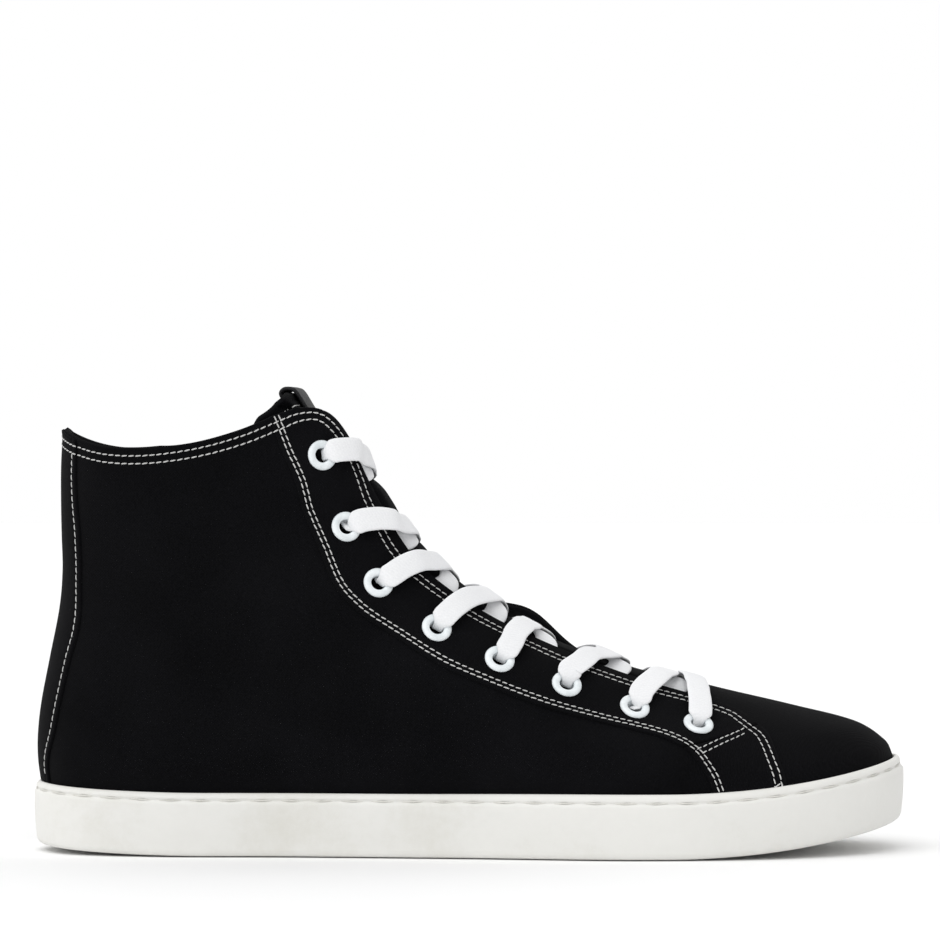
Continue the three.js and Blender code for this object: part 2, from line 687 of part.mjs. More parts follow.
const colours = {
  rubber: { color: 0xe5e4de, roughness: 0.55, metalness: 0 },
  canvas: { color: 0x141416, roughness: 0.9, metalness: 0 },
  lining: { color: 0x17181a, roughness: 0.9, metalness: 0 },
  tape: { color: 0x2a2c30, roughness: 0.6, metalness: 0 },
  lace: { color: 0xe6e7e8, roughness: 0.85, metalness: 0 },
  enamel: { color: 0xe8eef0, roughness: 0.35, metalness: 0.1 },
};

const sneaker = new THREE.Group();
function place(name, geometry, look, position, quaternion) {
  const bare = geometry.clone();
  bare.deleteAttribute("uv");
  const whole = mergeVertices(bare.deleteAttribute("normal"), 1e-4);
  whole.computeVertexNormals();
  const mesh = new THREE.Mesh(whole, new THREE.MeshStandardMaterial(colours[look]));
  mesh.name = name;
  if (position) mesh.position.copy(position);
  if (quaternion) mesh.quaternion.copy(quaternion);
  sneaker.add(mesh);
}

place("cupsole", cupsoleGeometry, "rubber");
place("insole", insoleGeometry, "lining");
place("upper", upperGeometry, "canvas");
place("tongue", tongueGeometry, "canvas");
place("pull_loop", loopGeometry, "tape");
place("heel_strip", heelStripGeometry, "canvas");
for (const [side, mirrored] of [["lateral", false], ["medial", true]]) {
  place(`eyestay_${side}`, eyestay(mirrored), "canvas");
  place(`side_patch_${side}`, sidePatch(mirrored), "canvas");
  eyelets.forEach((eyelet, k) => {
    const { middle, spin } = eyeletFrame(eyelet, mirrored);
    place(`eyelet_${side}_${k + 1}`, eyeletGeometry(), "enamel", middle, spin);
  });
}
for (let k = 0; k < eyelets.length - 1; k += 1) {
  place(`lace_cross_${k + 1}`, crossing(k), "lace");
}
place("lace_bar", laceBar(), "lace");

// The middle of the sole's plan goes to the origin
sneaker.updateMatrixWorld(true);
const box = new THREE.Box3().setFromObject(sneaker, true);
sneaker.position.set(-(box.min.x + box.max.x) / 2, -(box.min.y + box.max.y) / 2, 0);

export default sneaker;
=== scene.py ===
import math

import bmesh
import bpy
import numpy as np
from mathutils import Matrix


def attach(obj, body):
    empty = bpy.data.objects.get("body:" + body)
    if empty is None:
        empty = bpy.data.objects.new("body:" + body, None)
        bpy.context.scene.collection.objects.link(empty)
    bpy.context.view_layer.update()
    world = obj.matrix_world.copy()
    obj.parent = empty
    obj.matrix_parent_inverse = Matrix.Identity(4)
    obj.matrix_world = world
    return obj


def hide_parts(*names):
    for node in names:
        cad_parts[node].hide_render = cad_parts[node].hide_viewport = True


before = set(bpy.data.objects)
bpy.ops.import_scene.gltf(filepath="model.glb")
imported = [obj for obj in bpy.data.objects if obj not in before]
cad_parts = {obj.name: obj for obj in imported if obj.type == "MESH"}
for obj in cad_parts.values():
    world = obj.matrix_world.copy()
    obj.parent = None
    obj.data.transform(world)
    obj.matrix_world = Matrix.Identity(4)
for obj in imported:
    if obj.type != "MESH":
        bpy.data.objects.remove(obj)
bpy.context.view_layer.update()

# Driving sizes in millimetres, the CAD source's or near them
SOLE_LENGTH = 300
UPPER_BALL_WIDTH = 98
UPPER_HEEL_WIDTH = 70
COLLAR_WIDTH = 62
BACK_HEIGHT = 119.3
THROAT_HEIGHT = 138
COLLAR_DIP = 10.3
SIDE_WALL = 22
SOLE_RIM = 3
TOE_SPRING = 10.5
HEEL_SPRING = 2.4
CUP_FLOOR = 10
UPPER_WALL = 2
OVERLAY_THICKNESS = 0.95
TONGUE_THICKNESS = 3
TONGUE_SLACK = 1.8
TONGUE_RECESS = 18.6
TONGUE_TWIST = 7
FIT = 0.3
SEAM_GAP = 0.5
EYELET_BORE = 5
EYELET_BARREL_WALL = 0.45
EYELET_FLANGE = 10.4
EYELET_CROWN = 1.1
LACE_WIDTH = 8.2
LACE_THICKNESS = 1.25
LACE_END_WIDTH = 3.8
LOOP_WIDTH = 20
LOOP_TAPE = 1.3
LOOP_RISE = 2.6
STITCH_PITCH = 2.45
STITCH_LENGTH = 1.95
STITCH_WIDTH = 0.48

MM = 0.001
DEG = math.pi / 180
TURN = 2 * math.pi

# level, back, back up, front, front up, then seven width shares
RINGS = [
    (0.06, 0.0100, 0.000, 0.990, 0.000, 0.66, 0.92, 0.93, 0.79, 1.01, 0.94, 0.57),
    (0.12, 0.0070, 0.057, 0.980, 0.045, 0.68, 0.96, 0.97, 0.82, 1.03, 0.95, 0.58),
    (0.20, 0.0067, 0.126, 0.943, 0.111, 0.68, 0.99, 1.01, 0.84, 1.01, 0.86, 0.53),
    (0.30, 0.0107, 0.222, 0.860, 0.186, 0.66, 0.98, 1.03, 0.84, 0.91, 0.72, 0.41),
    (0.40, 0.0210, 0.360, 0.763, 0.254, 0.61, 0.95, 1.02, 0.84, 0.83, 0.66, 0.35),
    (0.50, 0.0315, 0.499, 0.667, 0.315, 0.56, 0.90, 1.01, 0.85, 0.80, 0.63, 0.35),
    (0.60, 0.0350, 0.608, 0.573, 0.395, 0.52, 0.86, 0.99, 0.87, 0.80, 0.63, 0.37),
    (0.70, 0.0340, 0.708, 0.500, 0.500, 0.50, 0.84, 0.99, 0.90, 0.82, 0.65, 0.40),
    (0.80, 0.0333, 0.801, 0.443, 0.627, 0.47, 0.82, 0.97, 0.94, 0.86, 0.69, 0.43),
    (0.90, 0.0333, 0.904, 0.395, 0.783, 0.45, 0.80, 0.96, 0.96, 0.90, 0.74, 0.47),
    (1.00, 0.0350, 1.000, 0.363, 1.000, 0.44, 0.79, 0.95, 1.01, 0.95, 0.78, 0.49),
    (1.12, 0.0370, 1.132, 0.333, 1.217, 0.44, 0.80, 0.97, 1.08, 1.02, 0.82, 0.50),
]
FEATHER = RINGS[0][0]
WIDTH_STEP = math.pi / 8

# along, side
MIDDLE_LINE = [(0, 0), (0.15, 0), (0.40, -0.025), (0.55, -0.018), (0.70, 0.010), (0.85, 0.040), (1, 0.072)]

# Lines on the upper as level and turn in degrees
THROAT_EDGE = [
    (0.995, 130), (0.982, 142), (0.955, 150.5), (0.915, 156.3), (0.86, 155.5), (0.80, 151.3),
    (0.73, 148.8), (0.66, 150.4), (0.58, 152.3), (0.50, 149.8), (0.42, 147.8), (0.35, 150.5),
    (0.303, 150.3), (0.262, 146.7), (0.2475, 145.4),
]
REAR_SEAM = [
    (0.996, 117), (0.95, 118.3), (0.90, 119.7), (0.845, 116.6), (0.76, 112.6), (0.66, 106.4),
    (0.60, 104.8), (0.54, 104.8), (0.445, 105.4), (0.39, 108.1), (0.325, 112.6), (0.28, 117.5),
    (0.235, 123), (0.200, 124.4),
]
VAMP_FRONT = [(0.2445, 145.1), (0.228, 143.8), (0.176, 139.5), (0.12, 137.2), (0.058, 136.6)]
VAMP_REAR = [(0.197, 124.4), (0.12, 123.8), (0.058, 123.9)]
HEEL_STRIP = [
    (0.998, 28), (0.84, 27), (0.73, 27), (0.58, 24.5), (0.46, 24), (0.40, 22), (0.32, 20.3),
    (0.22, 18), (0.12, 14), (0.058, 13),
]
COLLAR_LINE = [
    (1.013, 0), (1.017, 25), (1.011, 50), (1.003, 70), (0.995, 90), (0.993, 105), (0.995, 118),
    (0.995, 130), (1, 180),
]
TONGUE_EDGE = [
    (1.06, 101), (1.00, 103), (0.93, 109), (0.85, 113), (0.70, 115), (0.55, 118), (0.42, 124),
    (0.34, 132),
]

# level, turn, level at the throat's edge, at the ridge and under the other edge
EYELETS = [
    (0.930, 134.9, 0.927, 0.900, 0.903), (0.8135, 128.6, 0.816, 0.800, 0.790),
    (0.686, 121.8, 0.742, 0.724, 0.695), (0.565, 120.2, 0.662, 0.648, 0.623),
    (0.469, 120.8, 0.580, 0.577, 0.548), (0.389, 124.3, 0.488, 0.487, 0.458),
    (0.319, 128.5, 0.413, 0.428, 0.385), (0.262, 133.8, 0.386, 0.403, 0.403),
]
THROAT_END_RIDGE = 0.395
THROAT_END_EDGE = 0.362
TONGUE_FOOT = 0.352
TONGUE_TOP_RIDGE = 0.989
TONGUE_TOP_SIDE = 0.997
TONGUE_TOP_CORNER = 0.975

# How the inner eyestay's edge stands up between the laces: millimetres, levels and degrees
SWELL_HEIGHT = 8
SWELL_LEVEL = 0.580
SWELL_SPREAD = 0.061
SWELL_REACH = 18

# level and distance of the first stitch row from the throat's edge
THROAT_INSET = [
    (0.06, 2.0), (0.17, 2.0), (0.215, 2.7), (0.25, 3.6), (0.30, 3.8), (0.36, 3.7), (0.42, 4.5),
    (0.47, 5.1), (0.52, 5.4), (0.57, 5.0), (0.62, 4.0), (0.69, 3.5), (0.73, 3.7), (0.78, 4.6),
    (0.82, 4.3), (0.865, 3.8), (0.90, 2.6), (0.95, 1.5), (0.985, 1.9), (1.00, 2.2),
]

# The lace from each eyelet to the ridge: level and turn at four places, then the level at the
# ridge and the lift there
LACE_RUNS = [
    ((0.932, 141), (0.930, 147), (0.927, 153), (0.921, 159), 0.913, -0.6),
    ((0.822, 136), (0.823, 143.5), (0.818, 151), (0.814, 158), 0.815, -0.4),
    ((0.703, 128), (0.724, 136), (0.738, 145), (0.743, 155), 0.747, 0.0),
    ((0.597, 127.5), (0.627, 136.5), (0.652, 147.5), (0.664, 161), 0.664, 2.7),
    ((0.508, 129), (0.548, 139), (0.576, 150), (0.592, 160), 0.603, 1.3),
    ((0.425, 130), (0.449, 137), (0.479, 147), (0.496, 159), 0.505, 1.5),
    ((0.354, 135), (0.376, 141), (0.403, 151), (0.422, 161), 0.438, 1.1),
    ((0.290, 138), (0.320, 143), (0.352, 150), (0.388, 162), 0.411, 2.0),
]

# Soft creases: from (turn, level) to (turn, level), then half width and depth in millimetres
CREASES = [
    ((96, 0.52), (62, 0.50), 6.0, -0.55),
    ((98, 0.60), (70, 0.62), 7.0, 0.45),
    ((92, 0.70), (66, 0.76), 6.5, -0.40),
    ((40, 0.66), (72, 0.60), 7.0, -0.45),
    ((36, 0.48), (64, 0.42), 7.5, 0.40),
    ((50, 0.30), (88, 0.26), 8.0, -0.35),
    ((150, 0.16), (172, 0.26), 6.0, -0.40),
    ((146, 0.11), (160, 0.20), 5.0, 0.30),
    ((104, 0.30), (116, 0.18), 5.0, -0.35),
]


def mix(a, b, t):
    return a + (b - a) * t


def smooth(value, start, end):
    t = np.clip((value - start) / (end - start), 0, 1)
    return t * t * (3 - 2 * t)


def unit(vectors):
    return vectors / np.maximum(np.linalg.norm(vectors, axis=-1, keepdims=True), 1e-12)


def through(knots, values, at):
    """Smooth curve through values at rising knots."""
    knots, values, at = (np.asarray(a, float) for a in (knots, values, at))
    slope = np.empty_like(values)
    slope[0] = (values[1] - values[0]) / (knots[1] - knots[0])
    slope[-1] = (values[-1] - values[-2]) / (knots[-1] - knots[-2])
    slope[1:-1] = (values[2:] - values[:-2]) / (knots[2:] - knots[:-2])
    i = np.clip(np.searchsorted(knots, at, side="right") - 1, 0, len(knots) - 2)
    span = knots[i + 1] - knots[i]
    t = (at - knots[i]) / span
    rise = t * t * (3 - 2 * t)
    leave = t * (1 - t) * (1 - t) * span * slope[i]
    reach = t * t * (t - 1) * span * slope[i + 1]
    return mix(values[i], values[i + 1], rise) + leave + reach


RING = np.array(RINGS, float).T
MIDDLE = np.array(MIDDLE_LINE, float).T


def sole_bottom(along):
    toe = np.maximum(0, (along / SOLE_LENGTH - 0.717) / (1 - 0.717))
    heel = np.maximum(0, (0.207 - along / SOLE_LENGTH) / 0.207)
    return TOE_SPRING * toe * toe + HEEL_SPRING * heel * heel


def half_width(turn, level):
    heel_half = mix(UPPER_HEEL_WIDTH, COLLAR_WIDTH, level) / 2
    ball_half = mix(UPPER_BALL_WIDTH, COLLAR_WIDTH, level) / 2
    at = [through(RING[0], RING[4 + k], level) * (heel_half if k < 4 else ball_half) for k in range(1, 8)]
    none = np.zeros_like(level)
    table = np.stack([-at[0], none, *at, none, -at[6]])
    i = np.clip(np.floor(turn / WIDTH_STEP).astype(int), 0, 7)
    t = turn / WIDTH_STEP - i

    def width(k):
        return np.take_along_axis(table, (k + 1)[None], axis=0)[0]

    slope_a = (width(i + 1) - width(i - 1)) / 2
    slope_b = (width(i + 2) - width(i)) / 2
    leave = t * (1 - t) * (1 - t) * slope_a
    reach = t * t * (t - 1) * slope_b
    return mix(width(i), width(i + 1), t * t * (3 - 2 * t)) + leave + reach


def form(turn, level):
    """The outside of the upper in millimetres: turn from the heel by the outer side, level up."""
    turn, level = np.broadcast_arrays(np.asarray(turn, float), np.asarray(level, float))
    wrapped = np.mod(turn, TURN)
    outer = wrapped <= math.pi
    half = np.where(outer, wrapped, TURN - wrapped)
    plan = np.maximum(level, FEATHER)
    toward = np.sin(half / 2) ** 2
    back = through(RING[0], RING[1], plan) * SOLE_LENGTH
    front = through(RING[0], RING[3], plan) * SOLE_LENGTH
    along = mix(back, front, toward)
    back_up = through(RING[0], RING[2], plan) * BACK_HEIGHT
    front_up = through(RING[0], RING[4], plan) * THROAT_HEIGHT
    dip = COLLAR_DIP * np.clip((plan - 0.6) / 0.4, 0, 2) ** 1.5 * np.sin(math.pi * toward**0.65)
    sunk = (level - plan) * (SIDE_WALL - CUP_FLOOR - FIT) / FEATHER
    middle = through(MIDDLE[0], MIDDLE[1], along / SOLE_LENGTH) * UPPER_BALL_WIDTH
    side = middle + np.where(outer, -1, 1) * half_width(half, plan)
    up = sole_bottom(along) + SIDE_WALL + mix(back_up, front_up, toward) - dip + sunk
    return np.stack([along - SOLE_LENGTH / 2, side, up], -1)


def normal_at(turn, level):
    turn, level = np.broadcast_arrays(np.asarray(turn, float), np.asarray(level, float))
    step = 0.004
    across = form(turn + step, level) - form(turn - step, level)
    rise = form(turn, level + step) - form(turn, np.maximum(0, level - step))
    return unit(np.cross(across, rise))


def crease(places):
    """How far the cloth stands in or out at places on the upper, from the listed creases."""
    total = np.zeros(places.shape[:-1])
    for start, end, width, depth in CREASES:
        for mirrored in (False, True):
            a, b = (form((-turn if mirrored else turn) * DEG, level) for turn, level in (start, end))
            run = b - a
            share = np.clip(((places - a) @ run) / (run @ run), 0, 1)
            away = np.linalg.norm(places - (a + share[..., None] * run), axis=-1)
            strength = depth * (0.7 if mirrored else 1) * (0.45 + 0.55 * np.sin(math.pi * share))
            total += strength * np.exp(-((away / width) ** 2))
    return total


def edge_swell(turn, level):
    """The inner eyestay's edge stands up between the laces."""
    wrapped = np.mod(turn, TURN)
    half = np.minimum(wrapped, TURN - wrapped)
    edge = throat_turn(level)
    rise = SWELL_HEIGHT * np.exp(-(((level - SWELL_LEVEL) / SWELL_SPREAD) ** 2))
    return rise * smooth(half, edge - SWELL_REACH * DEG, edge) * (wrapped > math.pi) * (half < edge + 0.3)


def surface(turn, level, lift=0.0):
    turn, level = np.broadcast_arrays(np.asarray(turn, float), np.asarray(level, float))
    places = form(turn, level)
    soft = crease(places) * smooth(level, 0.07, 0.16) * (1 - smooth(level, 0.90, 0.98))
    soft = soft + edge_swell(turn, level)
    return places + normal_at(turn, level) * (np.asarray(lift) + soft)[..., None]


def outline(turn, out):
    step = 0.01
    centre = form(turn, FEATHER)
    ahead = form(turn + step, FEATHER) - form(turn - step, FEATHER)
    away = unit(np.stack([ahead[..., 1], -ahead[..., 0]], -1))
    return centre[..., :2] + away * np.asarray(out)[..., None]


def slide(turn, level, move):
    """Turn and level after a move along the upper's surface, move in millimetres."""
    step = 0.004
    a = (form(turn + step, level) - form(turn - step, level)) / (2 * step)
    b = (form(turn, level + step) - form(turn, level - step)) / (2 * step)
    aa, ab, bb = ((p * q).sum(-1) for p, q in ((a, a), (a, b), (b, b)))
    am, bm = (a * move).sum(-1), (b * move).sum(-1)
    det = aa * bb - ab * ab
    return turn + (am * bb - bm * ab) / det, level + (bm * aa - am * ab) / det


# The middle of the CAD sole's plan is at the origin
coarse = outline(np.arange(36) * TURN / 36, np.full(36, float(SOLE_RIM)))
SHIFT = np.array([*(-(coarse.min(0) + coarse.max(0)) / 2), 0.0])


def read_line(rows):
    rising = np.array(sorted(rows), float).T
    return lambda level: through(rising[0], rising[1], np.clip(level, rising[0][0], rising[0][-1])) * DEG


throat_turn = read_line(THROAT_EDGE)
tongue_turn = read_line(TONGUE_EDGE)
heel_turn = read_line(HEEL_STRIP)
COLLAR = np.array(COLLAR_LINE, float).T


def to_collar(turn, level):
    half = np.abs(np.mod(np.asarray(turn, float) + math.pi, TURN) - math.pi) / DEG
    return level + (through(COLLAR[1], COLLAR[0], half) - 1) * smooth(level, 0.75, 1)


def pace_line(rows):
    """A line as turn and level at shares of its length."""
    table = np.array(rows, float)
    levels, turns = table[:, 0], table[:, 1] * DEG
    gaps = np.linalg.norm(np.diff(form(turns, levels), axis=0), axis=1)
    lengths = np.concatenate([[0], np.cumsum(gaps)])
    total = lengths[-1]
    return lambda share: (through(lengths, turns, share * total), through(lengths, levels, share * total))


# Materials

def node(tree, kind, **settings):
    made = tree.nodes.new(kind)
    for key, value in settings.items():
        if key in made.inputs:
            made.inputs[key].default_value = value
        else:
            setattr(made, key, value)
    return made


def math_node(tree, operation, a, b=None, c=None):
    made = tree.nodes.new("ShaderNodeMath")
    made.operation = operation
    for slot, value in enumerate((a, b, c)):
        if value is None:
            continue
        if isinstance(value, (int, float)):
            made.inputs[slot].default_value = value
        else:
            tree.links.new(value, made.inputs[slot])
    return made.outputs[0]


def start_material(name, colour, roughness, specular=0.5):
    material = bpy.data.materials.new(name)
    material.use_nodes = True
    tree = material.node_tree
    shader = tree.nodes["Principled BSDF"]
    shader.inputs["Base Color"].default_value = (*colour, 1)
    shader.inputs["Roughness"].default_value = roughness
    shader.inputs["Specular IOR Level"].default_value = specular
    return material, tree, shader


def noise(tree, vector, scale, detail=3.0, roughness=0.5):
    made = node(tree, "ShaderNodeTexNoise")
    made.inputs["Scale"].default_value = scale
    made.inputs["Detail"].default_value = detail
    made.inputs["Roughness"].default_value = roughness
    tree.links.new(vector, made.inputs["Vector"])
    return made.outputs["Fac"]


def ramp(tree, value, stops):
    made = node(tree, "ShaderNodeValToRGB")
    tree.links.new(value, made.inputs["Fac"])
    elements = made.color_ramp.elements
    while len(elements) < len(stops):
        elements.new(0.5)
    for element, (place, colour) in zip(elements, stops):
        element.position = place
        element.color = (*colour, 1)
    return made.outputs["Color"]


def bump(tree, shader, height, strength, distance, before=None):
    made = node(tree, "ShaderNodeBump")
    made.inputs["Strength"].default_value = strength
    made.inputs["Distance"].default_value = distance
    tree.links.new(height, made.inputs["Height"])
    if before is not None:
        tree.links.new(before, made.inputs["Normal"])
    tree.links.new(made.outputs["Normal"], shader.inputs["Normal"])
    return made.outputs["Normal"]


def object_vector(tree):
    return node(tree, "ShaderNodeTexCoord").outputs["Object"]


def cloth_vector(tree):
    made = node(tree, "ShaderNodeUVMap")
    made.uv_map = "cloth"
    return made.outputs["UV"]


def woven(name, dark, light, pitch, roughness, specular, depth, twill=False, sheen=0.0, fuzz=0.5):
    """A woven cloth: threads over and under at the pitch in millimetres, uneven yarn, soft fuzz."""
    material, tree, shader = start_material(name, dark, roughness, specular)
    shader.inputs["Sheen Weight"].default_value = sheen
    shader.inputs["Sheen Roughness"].default_value = 0.6
    cloth = cloth_vector(tree)
    parts = node(tree, "ShaderNodeSeparateXYZ")
    tree.links.new(cloth, parts.inputs[0])
    wobble = math_node(tree, "MULTIPLY", noise(tree, object_vector(tree), 220, 2), 1.1)
    u = math_node(tree, "MULTIPLY_ADD", parts.outputs[0], TURN / pitch, wobble)
    v = math_node(tree, "MULTIPLY_ADD", parts.outputs[1], TURN / pitch, wobble)
    if twill:
        v = math_node(tree, "ADD", u, v)
        u = math_node(tree, "MULTIPLY", u, 0.5)
    weave = math_node(tree, "MULTIPLY", math_node(tree, "SINE", u), math_node(tree, "SINE", v))
    fibre = noise(tree, object_vector(tree), 1800, 3, 0.7)
    patch = noise(tree, object_vector(tree), 28, 3)
    height = math_node(tree, "MULTIPLY_ADD", fibre, fuzz, math_node(tree, "MULTIPLY", weave, 0.5))
    tone = math_node(tree, "MULTIPLY_ADD", weave, 0.08, fibre)
    tone = math_node(tree, "MULTIPLY_ADD", math_node(tree, "SUBTRACT", patch, 0.5), 0.7, tone)
    tree.links.new(ramp(tree, tone, [(0.30, dark), (0.78, light)]), shader.inputs["Base Color"])
    rough = math_node(tree, "MULTIPLY_ADD", patch, 0.16, roughness - 0.08)
    tree.links.new(rough, shader.inputs["Roughness"])
    bump(tree, shader, height, 0.6, depth * MM)
    return material


canvas = woven("black_canvas", (0.0017, 0.0017, 0.0021), (0.0054, 0.0054, 0.0064), 0.95, 0.92, 0.03, 0.12,
               sheen=0.013)
lining = woven("black_lining", (0.004, 0.004, 0.0045), (0.014, 0.014, 0.015), 0.7, 0.95, 0.08, 0.15,
               twill=True)
lace_cloth = woven("white_lace", (0.79, 0.795, 0.81), (0.88, 0.885, 0.895), 1.15, 0.9, 0.2, 0.035,
                   twill=True, fuzz=0.3)
tape_cloth = woven("satin_tape", (0.007, 0.007, 0.008), (0.017, 0.017, 0.019), 0.8, 0.55, 0.22, 0.10,
                   fuzz=0.15)
thread = woven("white_thread", (0.48, 0.48, 0.47), (0.68, 0.68, 0.665), 0.5, 0.8, 0.2, 0.05, fuzz=0.4)
sole_thread = woven("sole_thread", (0.66, 0.65, 0.61), (0.78, 0.77, 0.73), 0.6, 0.8, 0.2, 0.04, fuzz=0.4)


def make_rubber():
    material, tree, shader = start_material("off_white_rubber", (0.76, 0.755, 0.72), 0.55, 0.4)
    place = object_vector(tree)
    broad = noise(tree, place, 22, 4)
    fine = noise(tree, place, 900, 3, 0.6)
    specks = noise(tree, place, 300, 4, 0.7)
    tone = math_node(tree, "MULTIPLY_ADD", math_node(tree, "SUBTRACT", specks, 0.5), 0.35, broad)
    stops = [(0.28, (0.70, 0.69, 0.645)), (0.52, (0.765, 0.76, 0.73)), (0.75, (0.79, 0.785, 0.755))]
    tree.links.new(ramp(tree, tone, stops), shader.inputs["Base Color"])
    rough = math_node(tree, "MULTIPLY_ADD", specks, 0.25, 0.42)
    tree.links.new(rough, shader.inputs["Roughness"])
    first = bump(tree, shader, fine, 0.35, 0.10 * MM)
    bump(tree, shader, broad, 0.4, 0.6 * MM, before=first)
    return material


def make_enamel():
    material, tree, shader = start_material("white_enamel", (0.78, 0.82, 0.84), 0.28, 0.5)
    place = object_vector(tree)
    worn = noise(tree, place, 260, 3)
    stops = [(0.3, (0.70, 0.75, 0.77)), (0.6, (0.82, 0.86, 0.88))]
    tree.links.new(ramp(tree, worn, stops), shader.inputs["Base Color"])
    tree.links.new(math_node(tree, "MULTIPLY_ADD", worn, 0.2, 0.18), shader.inputs["Roughness"])
    shader.inputs["Coat Weight"].default_value = 0.25
    shader.inputs["Coat Roughness"].default_value = 0.15
    bump(tree, shader, noise(tree, place, 700, 2), 0.15, 0.05 * MM)
    return material


def make_floor():
    material, tree, shader = start_material("pale_floor", (0.96, 0.96, 0.96), 0.75, 0.1)
    tone = noise(tree, object_vector(tree), 3, 2)
    stops = [(0.2, (0.955, 0.955, 0.955)), (0.8, (0.965, 0.965, 0.965))]
    tree.links.new(ramp(tree, tone, stops), shader.inputs["Base Color"])
    return material


rubber = make_rubber()
enamel = make_enamel()


# Building meshes

def grid_faces(rows, cols, start=0, wrap=False):
    last = cols if wrap else cols - 1
    i, j = np.meshgrid(np.arange(rows - 1), np.arange(last), indexing="ij")
    k = (j + 1) % cols
    faces = np.stack([i * cols + j, i * cols + k, (i + 1) * cols + k, (i + 1) * cols + j], -1)
    return faces.reshape(-1, 4) + start


def add_piece(name, points, faces, materials, uv=None, choice=None, weld=0.0):
    """A mesh object from points in millimetres. uv holds one pair for each point."""
    mesh = bpy.data.meshes.new(name)
    places = np.asarray(points, float).reshape(-1, 3)
    places = (places + SHIFT) * MM
    mesh.from_pydata(places.tolist(), [], [list(map(int, f)) for f in faces])
    mesh.update()
    if uv is not None:
        layer = mesh.uv_layers.new(name="cloth")
        corners = np.empty(len(mesh.loops), int)
        mesh.loops.foreach_get("vertex_index", corners)
        layer.data.foreach_set("uv", np.asarray(uv, float).reshape(-1, 2)[corners].ravel())
    for material in materials:
        mesh.materials.append(material)
    if choice is not None:
        mesh.polygons.foreach_set("material_index", np.asarray(choice, int))
    work = bmesh.new()
    work.from_mesh(mesh)
    if weld:
        bmesh.ops.remove_doubles(work, verts=work.verts, dist=weld * MM)
    bmesh.ops.recalc_face_normals(work, faces=work.faces)
    work.to_mesh(mesh)
    work.free()
    mesh.polygons.foreach_set("use_smooth", np.ones(len(mesh.polygons), bool))
    mesh.update()
    piece = bpy.data.objects.new(name, mesh)
    bpy.context.scene.collection.objects.link(piece)
    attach(piece, "root")
    return piece


def rim(points, loop, inner, other, start, bulge):
    """A rounded edge between a loop of points and the same loop on the other face."""
    top, low, inside = points[loop], points[other], points[inner]
    thick = np.linalg.norm(top - low, axis=1, keepdims=True)
    middle = (top + low) / 2 + unit(top - inside) * thick * bulge
    count = len(loop)
    k = np.arange(count)
    n = (k + 1) % count
    upper = np.stack([loop[k], loop[n], start + n, start + k], -1)
    lower = np.stack([start + k, start + n, other[n], other[k]], -1)
    return middle, np.concatenate([upper, lower])


def sheet_piece(name, top, low, uv, materials, bulge=0.3, replaced=()):
    """A sheet with a top face, a lower face and a rounded edge round both."""
    rows, cols = top.shape[:2]
    count = rows * cols
    points = np.concatenate([top.reshape(-1, 3), low.reshape(-1, 3)])
    index = np.arange(count).reshape(rows, cols)
    loop = np.concatenate([index[0, :-1], index[:-1, -1], index[-1, :0:-1], index[:0:-1, 0]])
    inner_grid = index[np.clip(np.arange(rows), 1, rows - 2)][:, np.clip(np.arange(cols), 1, cols - 2)]
    inner = inner_grid.reshape(-1)[loop]
    middle, edge = rim(points, loop, inner, loop + count, 2 * count, bulge)
    faces = [*grid_faces(rows, cols), *grid_faces(rows, cols, count), *edge]
    points = np.concatenate([points, middle])
    flat = np.asarray(uv, float).reshape(-1, 2)
    uv_all = np.concatenate([flat, flat, flat[loop]])
    choice = np.zeros(len(faces), int)
    if len(materials) > 1:
        cells = (rows - 1) * (cols - 1)
        choice[cells:2 * cells] = 1
    piece = add_piece(name, points, faces, materials, uv_all, choice)
    if replaced:
        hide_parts(*replaced)
    return piece


def lengths_along(points, axis):
    gaps = np.linalg.norm(np.diff(points, axis=axis), axis=-1)
    zero = np.zeros_like(np.take(gaps, [0], axis=axis))
    return np.concatenate([zero, np.cumsum(gaps, axis=axis)], axis=axis)


# Upper: one shell, open at the collar, the throat and underneath

def shell_grid(lift):
    """Points of the shell at some lift: the closed part below the throat, then the part above."""
    foot_turn = throat_turn(THROAT_END_EDGE)
    share = np.linspace(-1, 1, SHELL_AROUND)
    fill = np.linspace(0, 1, SHELL_FOOT + 2)[1:-1]
    turns = np.concatenate([share * foot_turn, mix(foot_turn, TURN - foot_turn, fill)])
    across = np.concatenate([np.ones(SHELL_AROUND), np.abs(2 * fill - 1)])
    foot = THROAT_END_EDGE + (THROAT_END_RIDGE - THROAT_END_EDGE) * (1 - across**2)
    low = np.concatenate([[0, 0.5, 0.9], np.linspace(1, 6.2, SHELL_LOW - 3)]) / 6.2
    level_low = low[:, None] * foot[None]
    below = surface(turns[None], level_low, np.full_like(level_low * turns[None], lift))
    rise = np.linspace(0, 1, SHELL_HIGH)[1:] ** 0.97
    level_high = mix(THROAT_END_EDGE, 1.0, rise)[:, None] * np.ones((1, SHELL_AROUND))
    rolled = lift_rows(level_high, lift)
    plain = level_high
    for _ in range(4):
        turn_high = share[None] * throat_turn(level_high)
        level_high = to_collar(turn_high, plain)
    above = surface(turn_high, level_high, rolled)
    return below, above


def lift_rows(level, lift):
    roll = 0.45 * np.exp(-(((1.0 - level) / 0.012) ** 2)) if lift >= 0 else 0.0
    return lift + roll * np.ones_like(level)


SHELL_AROUND = 241
SHELL_FOOT = 59
SHELL_LOW = 56
SHELL_HIGH = 92


def cloth_place(points):
    """Flat cloth coordinates in millimetres: seen from the side, or from above on the vamp."""
    x, y, z = points[..., 0], points[..., 1], points[..., 2]
    front = smooth(x, 70, 74)
    side = np.stack([x, z], -1)
    above = np.stack([x, y + np.sign(y) * z * 0.6], -1)
    return np.where(front[..., None] > 0.5, above, side)


